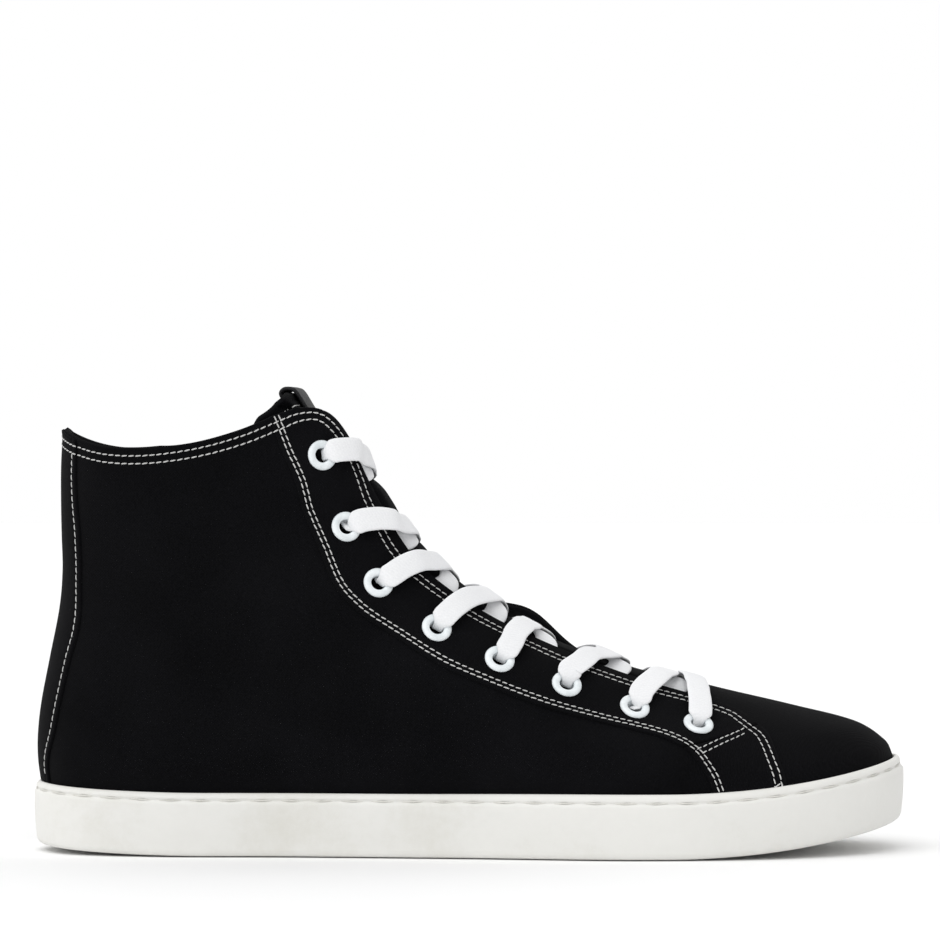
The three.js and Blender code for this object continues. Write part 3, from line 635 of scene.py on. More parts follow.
outer_low, outer_high = shell_grid(0.0)
inner_low, inner_high = shell_grid(-float(UPPER_WALL))
low_shape, high_shape = outer_low.shape[:2], outer_high.shape[:2]
low_count, high_count = low_shape[0] * low_shape[1], high_shape[0] * high_shape[1]
one_face = low_count + high_count


def shell_index(offset):
    low = np.arange(low_count).reshape(low_shape) + offset
    high = np.arange(high_count).reshape(high_shape) + offset + low_count
    return low, np.concatenate([low[-1:, :SHELL_AROUND], high])


def shell_faces(offset):
    low, high = shell_index(offset)
    wrapped = np.concatenate([low, low[:, :1]], axis=1)
    parts = []
    for table in (wrapped, high):
        quads = np.stack([table[:-1, :-1], table[:-1, 1:], table[1:, 1:], table[1:, :-1]], -1)
        parts.append(quads.reshape(-1, 4))
    return np.concatenate(parts)


points = np.concatenate([p.reshape(-1, 3) for p in (outer_low, outer_high, inner_low, inner_high)])
low, high = shell_index(0)
top_loop = np.concatenate([high[:-1, 0], high[-1, :-1], high[:0:-1, -1], low[-1, SHELL_AROUND - 1:]])
top_inner = np.concatenate([high[:-1, 1], high[-2, :-1], high[:0:-1, -2], low[-2, SHELL_AROUND - 1:]])
base_loop, base_inner = low[0], low[1]
middle_a, edge_a = rim(points, top_loop, top_inner, top_loop + one_face, 2 * one_face, 0.35)
middle_b, edge_b = rim(points, base_loop, base_inner, base_loop + one_face, 2 * one_face + len(top_loop), 0.0)
shell_faces_all = [*shell_faces(0), *shell_faces(one_face), *edge_a, *edge_b]
shell_points = np.concatenate([points, middle_a, middle_b])
shell_uv = cloth_place(shell_points)
face_count = len(shell_faces(0))
shell_choice = np.zeros(len(shell_faces_all), int)
shell_choice[face_count:2 * face_count] = 1


def eyelet_centres():
    for side, sign in (("lateral", 1), ("medial", -1)):
        for k, (level, turn, *_) in enumerate(EYELETS):
            place = sign * turn * DEG
            yield side, k, place, level, form(place, level), normal_at(place, level)


def open_holes(points, faces, choice, radius):
    """Leaves out the faces round each eyelet, so that its bore is open."""
    table = np.array(faces)
    centre = points[table].mean(1)
    keep = np.ones(len(table), bool)
    for _, _, _, _, middle, normal in eyelet_centres():
        offset = centre - middle
        along = offset @ normal
        radial = np.linalg.norm(offset - along[:, None] * normal, axis=1)
        keep &= ~((radial < radius) & (np.abs(along) < 6))
    chosen = np.flatnonzero(keep)
    return table[chosen], choice[chosen]


hole_radius = EYELET_BORE / 2 + EYELET_BARREL_WALL + 0.35
shell_faces_open, shell_choice_open = open_holes(shell_points, shell_faces_all, shell_choice, hole_radius)
upper_piece = add_piece("upper_canvas", shell_points, shell_faces_open, [canvas, lining], shell_uv,
                        shell_choice_open)
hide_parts("upper")


# Overlays: eyestays, side patches and the heel strip

def edge_columns(width, fine, inner_count):
    """Shares across a strip, close together near both edges, for each row's width."""
    near = np.array(fine)
    width = np.maximum(width, 2.4 * near[-1])[:, None]
    rest = np.linspace(0, 1, inner_count + 2)[1:-1]
    left = near[None] / width
    right = 1 - left[:, ::-1]
    centre = mix(left[:, -1:], right[:, :1], rest[None])
    return np.concatenate([left, centre, right], axis=1)


FINE_EDGE = [0, 0.15, 0.4, 0.8, 1.2, 1.6, 2.0, 2.4, 2.9, 3.4, 3.9, 4.4, 5.0]


def seam_relief(distance, rows):
    """The cloth's height at a distance from its edge: a rounded edge and a dent at each stitch row."""
    edge = np.clip(distance / 0.8, 0, 1)
    height = OVERLAY_THICKNESS * (0.35 + 0.65 * np.sqrt(1 - (1 - edge) ** 2))
    for row in rows:
        height = height - 0.22 * np.exp(-(((distance - row) / 0.55) ** 2))
    return height


def throat_inset(turn, level):
    """Distance of the first stitch row from the throat's edge, and from the collar behind it."""
    table = np.array(THROAT_INSET).T
    return mix(2.1, through(table[0], table[1], level), smooth(np.abs(turn) / DEG, 122, 138))


def overlay(name, rear_rows, front_rows, rows, rear_stitches, mirrored, replaced, closed=False):
    rear, front = pace_line(rear_rows), pace_line(front_rows)
    v = np.linspace(0, 1, rows)
    (turn_a, level_a), (turn_b, level_b) = rear(v), front(v)
    width = np.linalg.norm(form(turn_a, level_a) - form(turn_b, level_b), axis=-1) * 1.03
    u = edge_columns(width, FINE_EDGE, 16)
    turn = mix(turn_a[:, None], turn_b[:, None], u)
    level = mix(level_a[:, None], level_b[:, None], u)
    span = lengths_along(form(turn, level), 1)
    total = span[:, -1:]
    run = lengths_along(form(turn, level), 0)
    first = throat_inset(turn_b, level_b)[:, None]
    relief = np.minimum(seam_relief(span, rear_stitches), seam_relief(total - span, (first, first + 2.3)))
    if closed:
        relief = np.minimum(relief, seam_relief(run[-1:] - run, (1.5, 3.3)))
    if mirrored:
        turn = -turn
    top = surface(turn, level, relief)
    low_face = surface(turn, level, 0.02)
    return sheet_piece(name, top, low_face, cloth_place(top), [canvas], replaced=replaced)


for side, mirrored in (("lateral", False), ("medial", True)):
    overlay(f"side_patch_canvas_{side}", VAMP_REAR, VAMP_FRONT, 44, (1.5, 3.1), mirrored,
            (f"side_patch_{side}",))
    stay = overlay(f"eyestay_canvas_{side}", REAR_SEAM, THROAT_EDGE, 230, (1.5, 3.1), mirrored,
                   (f"eyestay_{side}",), closed=True)
    mesh = stay.data
    work = bmesh.new()
    work.from_mesh(mesh)
    doomed = []
    spots = [(middle, normal) for s, _, _, _, middle, normal in eyelet_centres() if s == side]
    for face in work.faces:
        here = np.array(face.calc_center_median()) / MM - SHIFT
        for middle, normal in spots:
            offset = here - middle
            along = offset @ normal
            if np.linalg.norm(offset - along * normal) < hole_radius and abs(along) < 6:
                doomed.append(face)
                break
    bmesh.ops.delete(work, geom=doomed, context="FACES")
    work.to_mesh(mesh)
    work.free()

strip_rows = 150
strip_level = np.linspace(0.06, 0.999, strip_rows)
edge_turn = heel_turn(strip_level)
strip_half = form(edge_turn, strip_level) - form(0 * edge_turn, strip_level)
strip_width = 2 * np.linalg.norm(strip_half, axis=-1) * 1.02
strip_u = edge_columns(strip_width, FINE_EDGE, 14)
strip_turn = (2 * strip_u - 1) * edge_turn[:, None]
strip_plain = strip_level[:, None] * np.ones_like(strip_u)
strip_levels = to_collar(strip_turn, strip_plain)
strip_span = lengths_along(form(strip_turn, strip_levels), 1)
strip_relief = np.minimum(seam_relief(strip_span, (2.2,)),
                          seam_relief(strip_span[:, -1:] - strip_span, (2.2,)))
strip_roll = 0.35 * np.exp(-(((1.0 - strip_plain) / 0.012) ** 2))
strip_top = surface(strip_turn, strip_levels, strip_relief + strip_roll)
strip_low = surface(strip_turn, strip_levels, 0.02)
strip_uv = np.stack([strip_span, lengths_along(strip_top, 0)], -1)
sheet_piece("heel_strip_canvas", strip_top, strip_low, strip_uv, [canvas], replaced=("heel_strip",))


# Tongue and pull loop

def tongue_point(across, up, depth):
    across, up = np.broadcast_arrays(np.asarray(across, float), np.asarray(up, float))
    shoulder = mix(TONGUE_TOP_RIDGE, TONGUE_TOP_SIDE, smooth(np.abs(across), 0, 0.6))
    top_level = mix(shoulder, TONGUE_TOP_CORNER, smooth(np.abs(across), 0.82, 1))
    level = mix(TONGUE_FOOT, top_level, up)
    turn = math.pi + across * (math.pi - tongue_turn(level))
    inside = (math.pi - throat_turn(level) - np.abs(turn - math.pi)) / DEG
    swell = smooth(inside, 3, 11) * smooth(level, 0.40, 0.46)
    under = UPPER_WALL + mix(SEAM_GAP, TONGUE_SLACK, smooth(level, 0.38, 0.45))
    pressed = sum(d * np.exp(-(((level - run[4]) / 0.02) ** 2)) for d, run in zip((1.9, 1.3, 0.9), LACE_RUNS))
    bare = -0.9 - 0.5 * smooth(level, 0.62, 0.78) + 0.8 * smooth(level, 0.81, 0.86)
    lift = mix(-under, bare - pressed, swell)
    lean = TONGUE_RECESS * (1 - across * across) ** 2 - TONGUE_TWIST * across * (1 - across * across) ** 6
    place = form(turn, level) + normal_at(turn, level) * (lift - depth)[..., None]
    place[..., 0] -= lean * smooth(level, 0.87, 1)
    return place


across = np.linspace(-1, 1, 97)[None] * np.ones((150, 1))
up = (1 - (1 - np.linspace(0, 1, 150)) ** 1.25)[:, None] * np.ones((1, 97))
tongue_top = tongue_point(across, up, np.zeros_like(up))
tongue_low = tongue_point(across, up, np.full_like(up, TONGUE_THICKNESS))
from_top = lengths_along(tongue_top[::-1], 0)[::-1]
normal = unit(tongue_top - tongue_low)
tongue_top = tongue_top - normal * (0.3 * np.exp(-(((from_top - 2.2) / 0.6) ** 2)))[..., None]
tongue_uv = np.stack([lengths_along(tongue_top, 1), lengths_along(tongue_top, 0)], -1)
sheet_piece("tongue_canvas", tongue_top, tongue_low, tongue_uv, [canvas, lining], bulge=0.35,
            replaced=("tongue",))

LOOP_FRONT = 1.45
LOOP_BACK = 1.05
loop_reach = np.linalg.norm(tongue_point(0.1, 1, 0.0) - tongue_point(-0.1, 1, 0.0)) / 0.2


def loop_path(share):
    place = (share * LOOP_WIDTH) / 2 / loop_reach

    def leg(height, depth):
        return tongue_point(place, height, np.float64(depth))

    front, back = leg(1, -LOOP_FRONT), leg(1, TONGUE_THICKNESS + LOOP_BACK)
    rise = unit(leg(1, 0) - leg(0.95, 0))
    path = [leg(0.945, -LOOP_FRONT), leg(0.97, -LOOP_FRONT), front]
    for angle in (45, 90, 135):
        toward = (1 - math.cos(angle * DEG)) / 2
        path.append(mix(front, back, toward) + rise * LOOP_RISE * math.sin(angle * DEG))
    path += [back, leg(0.975, TONGUE_THICKNESS + LOOP_BACK), leg(0.96, TONGUE_THICKNESS + LOOP_BACK)]
    table = np.array(path)
    fine = np.linspace(0, len(path) - 1, 81)
    return np.stack([through(np.arange(len(path)), table[:, axis], fine) for axis in range(3)], -1)


loop_middle = np.stack([loop_path(share) for share in np.linspace(-1, 1, 25)], axis=1)
loop_ahead = np.gradient(loop_middle, axis=0)
loop_side = np.gradient(loop_middle, axis=1)
loop_out = unit(np.cross(loop_side, loop_ahead))
loop_uv = np.stack([lengths_along(loop_middle, 1), lengths_along(loop_middle, 0)], -1)
loop_half = loop_out * LOOP_TAPE / 2
sheet_piece("loop_tape", loop_middle + loop_half, loop_middle - loop_half, loop_uv, [tape_cloth],
            bulge=0.4, replaced=("pull_loop",))


# Cup sole with its lip, stitch groove and tread

SOLE_AROUND = 1200
MARK_PITCH = 10.3
MARK_LENGTH = 2.9
TOE_FULLNESS = 0.6
LIP_DROP = 0.5
# distance out from the feather line, height over the underside
SOLE_PROFILE = [
    (SOLE_RIM - 3.4, 0), (SOLE_RIM - 2.3, 0.10), (SOLE_RIM - 1.55, 0.50), (SOLE_RIM - 1.05, 1.15),
    (SOLE_RIM - 0.8, 1.9), (SOLE_RIM - 0.66, 2.8), (SOLE_RIM - 0.45, 4.8), (SOLE_RIM - 0.25, 7),
    (SOLE_RIM - 0.1, 9.5), (SOLE_RIM, 12), (SOLE_RIM + 0.02, 14.2), (SOLE_RIM, 16), (SOLE_RIM - 0.03, 17.2),
    (SOLE_RIM - 0.08, 17.8), (SOLE_RIM - 0.2, 18.2), (SOLE_RIM - 0.55, 18.55), (SOLE_RIM - 0.8, 18.8),
    (SOLE_RIM - 0.86, 19.05), (SOLE_RIM - 0.76, 19.3), (SOLE_RIM - 0.62, 19.55), (SOLE_RIM - 0.58, 19.9),
    (SOLE_RIM - 0.66, 20.4), (SOLE_RIM - 0.86, 20.95), (SOLE_RIM - 1.15, 21.45), (SOLE_RIM - 1.5, 21.8),
    (SOLE_RIM - 1.95, 21.98), (SOLE_RIM - 2.3, 21.96), (0.45, 21.8), (0.2, 21.5), (0.2, 19), (0.3, 15),
    (0.3, 12), (0.3, 10),
]


def mark_share(place):
    """How far places round the sole are in the sunk marks between the long stitches."""
    run = lengths_along(np.concatenate([place, place[:1]]), 0)
    count = round(run[-1] / MARK_PITCH)
    pitch = run[-1] / count
    away = np.abs(np.mod(run[:-1], pitch) - pitch / 2)
    return 1 - smooth(away, MARK_LENGTH * 0.2, MARK_LENGTH * 0.62)


def sole_ring(out, height, around=SOLE_AROUND):
    turn = np.arange(around) * TURN / around
    place = outline(turn, np.full(around, float(out)))
    if 18 < height < 20 and out > 1:
        sunk = 0.36 * math.exp(-(((height - 18.95) / 0.42) ** 2))
        place = outline(turn, out - sunk * mark_share(place))
    else:
        full = TOE_FULLNESS * smooth(-np.cos(turn), 0.80, 0.99) * (1 - smooth(height, 17, 18))
        place = outline(turn, out + full)
    drop = LIP_DROP * smooth(height, 19.6, 21.4) * (1 - smooth(place[:, 0], -30, 45))
    z = sole_bottom(place[:, 0] + SOLE_LENGTH / 2) + height - drop
    return np.concatenate([place, z[:, None]], axis=1)


def rungs(ring, shares):
    """Lines across the shoe between opposite columns of a ring."""
    half = len(ring) // 2
    a, b = ring[:half + 1], ring[(-np.arange(half + 1)) % len(ring)]
    return mix(a[:, None], b[:, None], shares[..., None])


def tread(points):
    """Depth of the grooves at places on the underside."""
    x, y = points[..., 0] + SOLE_LENGTH / 2, points[..., 1]
    waved = x + 1.6 * np.sin(y * 0.22)
    groove = np.abs(np.mod(waved, 9.0) - 4.5)
    cut = 1 - smooth(groove, 1.1, 1.9)
    zone = smooth(x, 150, 152) * (1 - smooth(x, 262, 264)) + smooth(x, 20, 22) * (1 - smooth(x, 86, 88))
    return 1.6 * cut * zone


def band(rings):
    table = np.stack(rings)
    return table.reshape(-1, 3), grid_faces(len(rings), table.shape[1], wrap=True)


sole_rings = [sole_ring(out, height) for out, height in SOLE_PROFILE]
sole_points, sole_faces = band(sole_rings)
half_count = SOLE_AROUND // 2
opposite = (-np.arange(half_count + 1)) % SOLE_AROUND
rung_width = np.linalg.norm(sole_rings[0][:half_count + 1] - sole_rings[0][opposite], axis=1)
rung_shares = edge_columns(np.maximum(rung_width, 1e-6), [0, 2.0, 4.0, 5.6, 6.2, 7.0], 20)
under = rungs(sole_rings[0], rung_shares)
from_edge = np.minimum(rung_shares, 1 - rung_shares) * rung_width[:, None]
depth = tread(under) * smooth(from_edge, 5.7, 6.3) * smooth(rung_width, 20, 24)[:, None]
under[..., 2] += depth
inside_floor = rungs(sole_rings[-1], np.linspace(0, 1, 13)[None] * np.ones((half_count + 1, 1)))
parts = [(sole_points, sole_faces)]
for table in (under, inside_floor):
    parts.append((table.reshape(-1, 3), grid_faces(*table.shape[:2])))
all_points, all_faces, offset = [], [], 0
for piece_points, piece_faces in parts:
    all_points.append(piece_points)
    all_faces.append(piece_faces + offset)
    offset += len(piece_points)
sole = add_piece("rubber_cupsole", np.concatenate(all_points), np.concatenate(all_faces), [rubber],
                 weld=0.002)
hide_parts("cupsole")

INSOLE_EDGE = -(UPPER_WALL + FIT)
INSOLE_PROFILE = [
    (INSOLE_EDGE - 1, 10.3), (INSOLE_EDGE - 0.2, 10.4), (INSOLE_EDGE, 10.8), (INSOLE_EDGE, 12.0),
    (INSOLE_EDGE, 13.4), (INSOLE_EDGE - 0.25, 14.0), (INSOLE_EDGE - 0.8, 14.3), (INSOLE_EDGE - 1.4, 14.3),
]
insole_rings = [sole_ring(out, height, 300) for out, height in INSOLE_PROFILE]
insole_points, insole_faces = band(insole_rings)
shares = np.linspace(0, 1, 31)[None] * np.ones((151, 1))
foot_top = rungs(insole_rings[-1], shares)
dish = np.sin(math.pi * shares) ** 0.7
foot_top[..., 2] -= 0.7 * dish * (0.5 + 0.5 * np.cos((foot_top[..., 0] + 150) / 300 * math.pi))
foot_low = rungs(insole_rings[0], np.linspace(0, 1, 7)[None] * np.ones((151, 1)))
all_points = [insole_points, foot_top.reshape(-1, 3), foot_low.reshape(-1, 3)]
all_faces = [insole_faces, grid_faces(*foot_top.shape[:2], len(insole_points)),
             grid_faces(*foot_low.shape[:2], len(insole_points) + foot_top.size // 3)]
insole_all = np.concatenate(all_points)
insole = add_piece("insole_cloth", insole_all, np.concatenate(all_faces), [lining], insole_all[:, :2],
                   weld=0.002)
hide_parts("insole")


# Eyelets

FLANGE_UNDER = OVERLAY_THICKNESS + 0.02
BARREL = EYELET_BORE / 2 + EYELET_BARREL_WALL


def eyelet_profile():
    """Radius and height round the section: bore, rolled rim, flange and the curl inside."""
    ring_middle = (EYELET_BORE / 2 + EYELET_FLANGE / 2) / 2
    ring_half = (EYELET_FLANGE - EYELET_BORE) / 4
    rows = []
    for angle in np.linspace(200, -8, 15):
        crown = EYELET_CROWN * (0.12 + 0.88 * math.sin(angle * DEG))
        rows.append((ring_middle + ring_half * math.cos(angle * DEG), FLANGE_UNDER + crown))
    rows[-1] = (EYELET_FLANGE / 2 - 0.05, FLANGE_UNDER)
    inner = -UPPER_WALL
    rows += [
        (BARREL + 0.3, FLANGE_UNDER - 0.05), (BARREL, FLANGE_UNDER - 0.3), (BARREL, inner - 0.05),
        (BARREL + 0.7, inner - 0.1), (BARREL + 0.9, inner - 0.35), (BARREL + 0.6, inner - 0.6),
        (BARREL - 0.1, inner - 0.55), (EYELET_BORE / 2, inner - 0.1), (EYELET_BORE / 2, 0.4),
    ]
    return np.array(rows)


profile = eyelet_profile()
spokes = 40
for side, k, place, level, middle, normal in eyelet_centres():
    spin = np.arange(spokes) * TURN / spokes
    side_way = unit(np.cross(normal, np.array([0.0, 0.0, 1.0])))
    up_way = np.cross(side_way, normal)
    round_way = np.cos(spin)[:, None] * side_way + np.sin(spin)[:, None] * up_way
    rings_of = [middle + normal * height + radius * round_way for radius, height in profile]
    rings_of.append(rings_of[0])
    eye_points, eye_faces = band(rings_of)
    eye = add_piece(f"enamel_eyelet_{side}_{k + 1}", eye_points, eye_faces, [enamel],
                    weld=0.002)
    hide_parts(f"eyelet_{side}_{k + 1}")


# One lace through all the eyelets

LACE_INSIDE = -UPPER_WALL - 0.25 - LACE_THICKNESS / 2


def strap(places, steps, tucked=False):
    """Points along a strap from rows of turn, level and lift. A tucked one passes under the raised edge."""
    table = np.array(places, float)
    knots = np.arange(len(table))
    at = np.linspace(0, len(table) - 1, steps)
    turn, level, lift = (through(knots, table[:, c], at) for c in range(3))
    if tucked:
        lift = lift - edge_swell(turn, level)
    return surface(turn, level, lift), normal_at(turn, level)


def lace_rise(k, flat=False):
    """From inside eyelet k out of its bore, on the ridge's side of it, and over the throat's edge."""
    level, turn = EYELETS[k][:2]
    first, second, third, fourth, ridge, lift = LACE_RUNS[k]
    reach = float(np.linalg.norm(form(turn * DEG, level) - form(first[1] * DEG, first[0])))

    def away(distance):
        share = distance / reach
        return mix(turn, first[1], share) * DEG, mix(level, first[0], share)

    over = (3.4, 3.7, 4.1, 4.0, 3.4)
    if flat:
        over = (3.0, 2.9, 2.6, 2.4, 2.3) if k < 2 else (2.9, 2.3, 1.8, 1.7, 1.6)
    rows = [
        (*away(1.1), -1.2), (*away(1.3), 0.6), (*away(1.6), 1.85), (*away(2.3), 2.8),
        (*away(min(3.4, 0.6 * reach + 0.6)), over[0]),
        (first[1] * DEG, first[0], over[1]), (second[1] * DEG, second[0], over[2]),
        (third[1] * DEG, third[0], over[3]), (fourth[1] * DEG, fourth[0], mix(over[4], lift, 0.35)),
    ]
    return rows, ridge, lift


def lace_cross(k, mirrored):
    """From inside eyelet k over the ridge, under the other edge to the next eyelet."""
    under_level = EYELETS[k][4]
    next_level, next_turn = EYELETS[k + 1][:2]
    sign = -1 if mirrored else 1
    rows, ridge, lift = lace_rise(k, flat=mirrored)
    lift = lift - LACE_THICKNESS - 0.1 if mirrored else lift
    far_edge = TURN - float(throat_turn(under_level))
    far_next = TURN - next_turn * DEG
    rows += [
        (math.pi, ridge, lift),
        (mix(math.pi, far_edge, 0.40), mix(ridge, under_level, 0.42), mix(lift, -0.6, 0.4)),
        (mix(math.pi, far_edge, 0.76), mix(ridge, under_level, 0.80), -1.2),
        (mix(math.pi, far_edge, 0.97), mix(ridge, under_level, 0.97), -2.6),
        (mix(far_edge, far_next, 0.2), mix(under_level, next_level, 0.2), LACE_INSIDE),
        (mix(far_edge, far_next, 0.5), mix(under_level, next_level, 0.5), LACE_INSIDE),
        (mix(far_edge, far_next, 0.86), mix(under_level, next_level, 0.86), LACE_INSIDE - 0.1),
    ]
    return strap([(sign * row[0], *row[1:]) for row in rows], 140, tucked=not mirrored or k == 4)


def lace_half(mirrored):
    """The chain from the first eyelet of one side down to the last one."""
    pieces_of = []
    level, turn = EYELETS[0][:2]
    sign = -1 if mirrored else 1
    begin = [
        (sign * (turn + 14) * DEG, level - 0.01, LACE_INSIDE),
        (sign * (turn + 9) * DEG, level - 0.005, LACE_INSIDE),
        (sign * (turn + 5) * DEG, level, LACE_INSIDE),
    ]
    pieces_of.append(strap(begin, 12))
    side = mirrored
    for k in range(len(EYELETS) - 1):
        pieces_of.append(lace_cross(k, side))
        side = not side
    return pieces_of


def lace_bar():
    rows, ridge, lift = lace_rise(len(EYELETS) - 1)
    mirror = [(TURN - row[0], *row[1:]) for row in reversed(lace_rise(len(EYELETS) - 1, flat=True)[0])]
    return strap([*rows, (math.pi, ridge, lift), *mirror], 150)


def join_lace():
    first = lace_half(False)
    bar = [array[::-1] for array in lace_bar()]
    second = [[array[::-1] for array in part] for part in reversed(lace_half(True))]
    parts_of = [*first, bar, *second]
    return [np.concatenate([part[c] for part in parts_of]) for c in range(2)]


def smooth_rows(values, passes, weight=0.5):
    for _ in range(passes):
        inner = (values[:-2] + values[2:]) / 2
        values = np.concatenate([values[:1], mix(values[1:-1], inner, weight), values[-1:]])
    return values


def sweep_lace():
    path, face_way = join_lace()
    gaps = np.linalg.norm(np.diff(path, axis=0), axis=1)
    run = np.concatenate([[0], np.cumsum(gaps)])
    keep = np.concatenate([[True], gaps > 1e-4])
    run, path, face_way = (a[keep] for a in (run, path, face_way))
    stations = int(run[-1] / 0.5)
    at = np.linspace(0, run[-1], stations)
    path, face_way = (np.stack([np.interp(at, run, a[:, c]) for c in range(3)], -1) for a in (path, face_way))
    path = smooth_rows(path, 4)
    centres = np.array([middle for _, _, _, _, middle, _ in eyelet_centres()])
    near = np.linalg.norm(path[:, None] - centres[None], axis=-1).min(1)
    open_share = smooth(near, 2.0, 4.4)
    width = smooth_rows(mix(LACE_END_WIDTH, LACE_WIDTH, open_share), 2)
    thick = smooth_rows(mix(1.6, LACE_THICKNESS, open_share), 2)
    ahead = unit(np.gradient(path, axis=0))
    turned = np.cross(ahead, unit(face_way))
    strength = np.linalg.norm(turned, axis=1)
    sideways = unit(turned)
    for k in range(1, stations):
        if sideways[k] @ sideways[k - 1] < 0:
            sideways[k:] *= -1
    sideways = unit(smooth_rows(sideways * np.clip(strength, 0.05, 1)[:, None] ** 2, 14))
    sideways = unit(sideways - (sideways * ahead).sum(-1, keepdims=True) * ahead)
    outward = np.cross(sideways, ahead)
    count = 20
    angle = np.arange(count) * TURN / count
    flat = np.sign(np.cos(angle)) * np.abs(np.cos(angle)) ** 0.75
    full = np.sign(np.sin(angle)) * np.abs(np.sin(angle)) ** 0.62
    groove = 1 - 0.10 * np.exp(-((flat / 0.16) ** 2))
    rings = (path[:, None] + sideways[:, None] * (flat[None, :, None] * width[:, None, None] / 2)
             + outward[:, None] * ((full * groove)[None, :, None] * thick[:, None, None] / 2))
    uv = np.stack([np.broadcast_to(np.cumsum(np.full(count, 0.8))[None], (stations, count)),
                   np.broadcast_to(at[:, None], (stations, count))], -1)
    faces = [list(f) for f in grid_faces(stations, count, wrap=True)]
    faces.append(list(range(count)))
    faces.append(list(range((stations - 1) * count, stations * count)))
    return rings.reshape(-1, 3), faces, uv.reshape(-1, 2)


lace_points, lace_faces, lace_uv = sweep_lace()
lace = add_piece("lace", lace_points, lace_faces, [lace_cloth], lace_uv)
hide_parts("lace_bar", *[f"lace_cross_{k}" for k in range(1, 8)])


# Stitches

def capsule():
    rows = [(-0.97, 0.45), (-0.8, 0.82), (-0.4, 0.98), (0, 1.0), (0.4, 0.98), (0.8, 0.82), (0.97, 0.45)]
    spin = np.arange(6) * TURN / 6
    places = [(x, r * math.cos(a), r * math.sin(a)) for x, r in rows for a in spin]
    places += [(-1.06, 0, 0), (1.06, 0, 0)]
    faces = [tuple(f) for f in grid_faces(len(rows), 6, wrap=True)]
    last = len(rows) * 6
    faces += [(last, (k + 1) % 6, k, k) for k in range(6)]
    faces += [(last + 1, last - 6 + k, last - 6 + (k + 1) % 6, last - 6 + (k + 1) % 6) for k in range(6)]
    return np.array(places), faces


CAPSULE_POINTS, CAPSULE_FACES = capsule()


def stitch_mesh(name, paths, material, pitch=STITCH_PITCH, length=STITCH_LENGTH, width=STITCH_WIDTH,
                height=0.32, slant=0.10):
    """Thread capsules along paths, each a pair of points and outward directions."""
    places, ways, faces = [], [], []
    for points, normals in paths:
        run = lengths_along(points, 0)
        count = max(1, int((run[-1] - length) / pitch))
        middles = (run[-1] - count * pitch) / 2 + pitch * (np.arange(count + 1))
        for number, at in enumerate(middles):
            if at - length / 2 < 0 or at + length / 2 > run[-1]:
                continue
            here, before, after = (np.array([np.interp(s, run, points[:, c]) for c in range(3)])
                                   for s in (at, at - length / 2, at + length / 2))
            outward = unit(np.array([np.interp(at, run, normals[:, c]) for c in range(3)]))
            ahead = unit(after - before)
            side = unit(np.cross(outward, ahead))
            ahead = unit(ahead + side * (slant + 0.04 * math.sin(number * 2.4)))
            side = unit(np.cross(outward, ahead))
            outward = np.cross(ahead, side)
            x, y, z = CAPSULE_POINTS.T
            arch = 0.12 * (1 - x * x)
            body = (here + ahead * (x * length / 2)[:, None] + side * (y * width / 2)[:, None]
                    + outward * (z * height / 2 + arch)[:, None])
            start = len(places) * len(CAPSULE_POINTS)
            places.append(body)
            ways.append(np.stack([y * width + x * 0.9, x * length / 2], -1))
            faces += [tuple(dict.fromkeys(i + start for i in f)) for f in CAPSULE_FACES]
    return add_piece(name, np.concatenate(places), faces, [material], np.concatenate(ways))


def inset(rows, distance, toward, count=400):
    """A line moved along the surface from an edge line, toward +1 for a larger turn."""
    turn, level = pace_line(rows)(np.linspace(0, 1, count))
    distance = distance(turn, level)[:, None] if callable(distance) else distance
    for _ in range(4):
        places = form(turn, level)
        ahead = unit(np.gradient(places, axis=0))
        side = unit(np.cross(normal_at(turn, level), ahead))
        grows = ((form(turn + 0.004, level) - places) * side).sum(-1, keepdims=True)
        side = side * np.sign(grows.sum()) * toward
        turn, level = slide(turn, level, side * distance / 4)
    return turn, level


def on_cloth(turn, level, lift, mirrored=False):
    turn = -turn if mirrored else turn
    return surface(turn, level, lift), normal_at(turn, level)


STITCH_LIFT = OVERLAY_THICKNESS - 0.10
# The two stitch rows across the foot of the eyestay
FOOT_ROWS = [
    [(0.189, 125.8), (0.214, 132.2), (0.239, 140.6)],
    [(0.175, 125.4), (0.201, 131.5), (0.226, 139.2)],
]
rear_edge = [*REAR_SEAM, *VAMP_REAR[1:]]
front_edge = [*COLLAR_LINE[:-2], *THROAT_EDGE, *VAMP_FRONT[1:]]
for side, mirrored in (("lateral", False), ("medial", True)):
    paths = []
    for distance in (1.7, 3.2):
        paths.append(on_cloth(*inset(rear_edge, distance, 1), STITCH_LIFT, mirrored))
    for rows in FOOT_ROWS:
        turn, level = pace_line(rows)(np.linspace(0, 1, 60))
        paths.append(on_cloth(turn, level, STITCH_LIFT, mirrored))
    edge_level = np.linspace(0.075, 0.985, 300)
    edge_rows = list(zip(edge_level[::-1], heel_turn(edge_level[::-1]) / DEG))
    paths.append(on_cloth(*inset(edge_rows, 2.2, -1), STITCH_LIFT, mirrored))
    stitch_mesh(f"stitches_{side}", paths, thread)


def cloth_lift(turn, level):
    """Height of the top cloth at the collar: on the heel strip and the eyestays it is higher."""
    half = np.abs(turn)
    rear = read_line(REAR_SEAM)(level)
    on_strip = 1 - smooth(half, heel_turn(level) - 0.01, heel_turn(level) + 0.02)
    on_stay = smooth(half, rear - 0.015, rear + 0.01)
    roll = 0.45 * np.exp(-(((to_collar(turn, 1.0) - level) / 0.012) ** 2))
    return np.maximum(on_strip, on_stay) * OVERLAY_THICKNESS + roll * (1 - on_stay) + 0.06


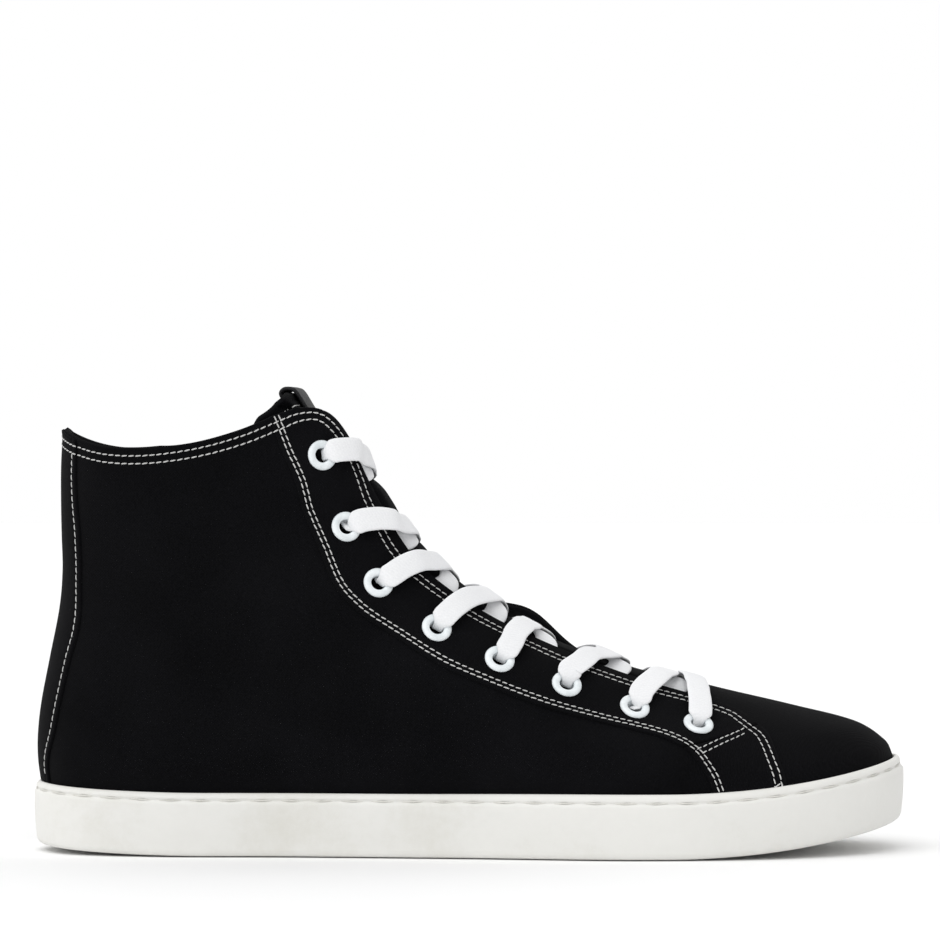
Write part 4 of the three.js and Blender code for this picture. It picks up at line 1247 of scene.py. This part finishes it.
collar_paths = []
for mirrored in (False, True):
    for extra in (0.0, 1.0):
        def distance(turn, level):
            spread = mix(2.65, 2.3, smooth(np.abs(turn) / DEG, 120, 140))
            return throat_inset(turn, level) + extra * spread
        turn, level = inset(front_edge, distance, -1, 1400)
        places, normals = on_cloth(turn, level, cloth_lift(turn, level) - 0.06, mirrored)
        collar_paths.append((places, normals))
stitch_mesh("stitches_collar", collar_paths, thread)

side_range = np.linspace(-0.94, 0.94, 300)
edge_up = np.ones(300) - 2.2 / 104
tongue_row = tongue_point(side_range, edge_up, np.zeros(300))
tongue_row_low = tongue_point(side_range, edge_up, np.ones(300))
tongue_normal = unit(tongue_row - tongue_row_low)
stitch_mesh("stitches_tongue", [(tongue_row - tongue_normal * 0.2, tongue_normal)], thread)

groove_turn = np.arange(1500) * TURN / 1500
groove_place = outline(groove_turn, np.full(1500, SOLE_RIM - 0.80))
groove_z = sole_bottom(groove_place[:, 0] + SOLE_LENGTH / 2) + 18.98
groove_points = np.concatenate([groove_place, groove_z[:, None]], axis=1)
groove_away = outline(groove_turn, np.full(1500, 4.0)) - groove_place
groove_out = unit(np.concatenate([groove_away, np.zeros((1500, 1))], axis=1))
stitch_mesh("stitches_sole", [(groove_points, groove_out)], sole_thread, pitch=MARK_PITCH, length=7.2,
            width=0.5, height=0.4, slant=0.0)


# Floor, light and camera

def add_floor():
    reach = 9.0
    mesh = bpy.data.meshes.new("floor")
    corners = [(-reach, -reach, 0), (reach, -reach, 0), (reach, reach, 0), (-reach, reach, 0)]
    mesh.from_pydata(corners, [], [(0, 1, 2, 3)])
    floor = bpy.data.objects.new("floor", mesh)
    floor.location.z = -0.0003
    mesh.materials.append(make_floor())
    bpy.context.scene.collection.objects.link(floor)


add_floor()
sun_light = bpy.data.lights.new("sun", "SUN")
sun_light.energy = 0.9
sun_light.angle = 60 * DEG
sun = bpy.data.objects.new("sun", sun_light)
sun.rotation_euler = (35 * DEG, 0, -28 * DEG)
bpy.context.scene.collection.objects.link(sun)

world = bpy.data.worlds.new("studio")
world.use_nodes = True
sky = world.node_tree
turned = node(sky, "ShaderNodeVectorMath", operation="DOT_PRODUCT")
sky.links.new(node(sky, "ShaderNodeTexCoord").outputs["Generated"], turned.inputs[0])
turned.inputs[1].default_value = (0.92, -0.38, 0.0)
stops = [(0.0, (1, 1, 1)), (0.55, (0.72, 0.72, 0.72)), (1.0, (0.5, 0.5, 0.5))]
sky.links.new(ramp(sky, turned.outputs["Value"], stops), sky.nodes["Background"].inputs["Color"])
sky.nodes["Background"].inputs["Strength"].default_value = 1.0
bpy.context.scene.world = world
bpy.context.scene.view_settings.view_transform = "Standard"

SENSOR_WIDTH = 36
FOCAL_PIXELS = 4340
PICTURE_PIXELS = 940
camera_data = bpy.data.cameras.new("camera")
camera_data.sensor_width = SENSOR_WIDTH
camera_data.lens = SENSOR_WIDTH * FOCAL_PIXELS / PICTURE_PIXELS
camera = bpy.data.objects.new("camera", camera_data)
camera.location = ((0.3 + SHIFT[0]) * MM, (-1500 + SHIFT[1]) * MM, 130.6 * MM)
camera.rotation_euler = (math.pi / 2, 0, 0)
bpy.context.scene.collection.objects.link(camera)
bpy.context.scene.camera = camera
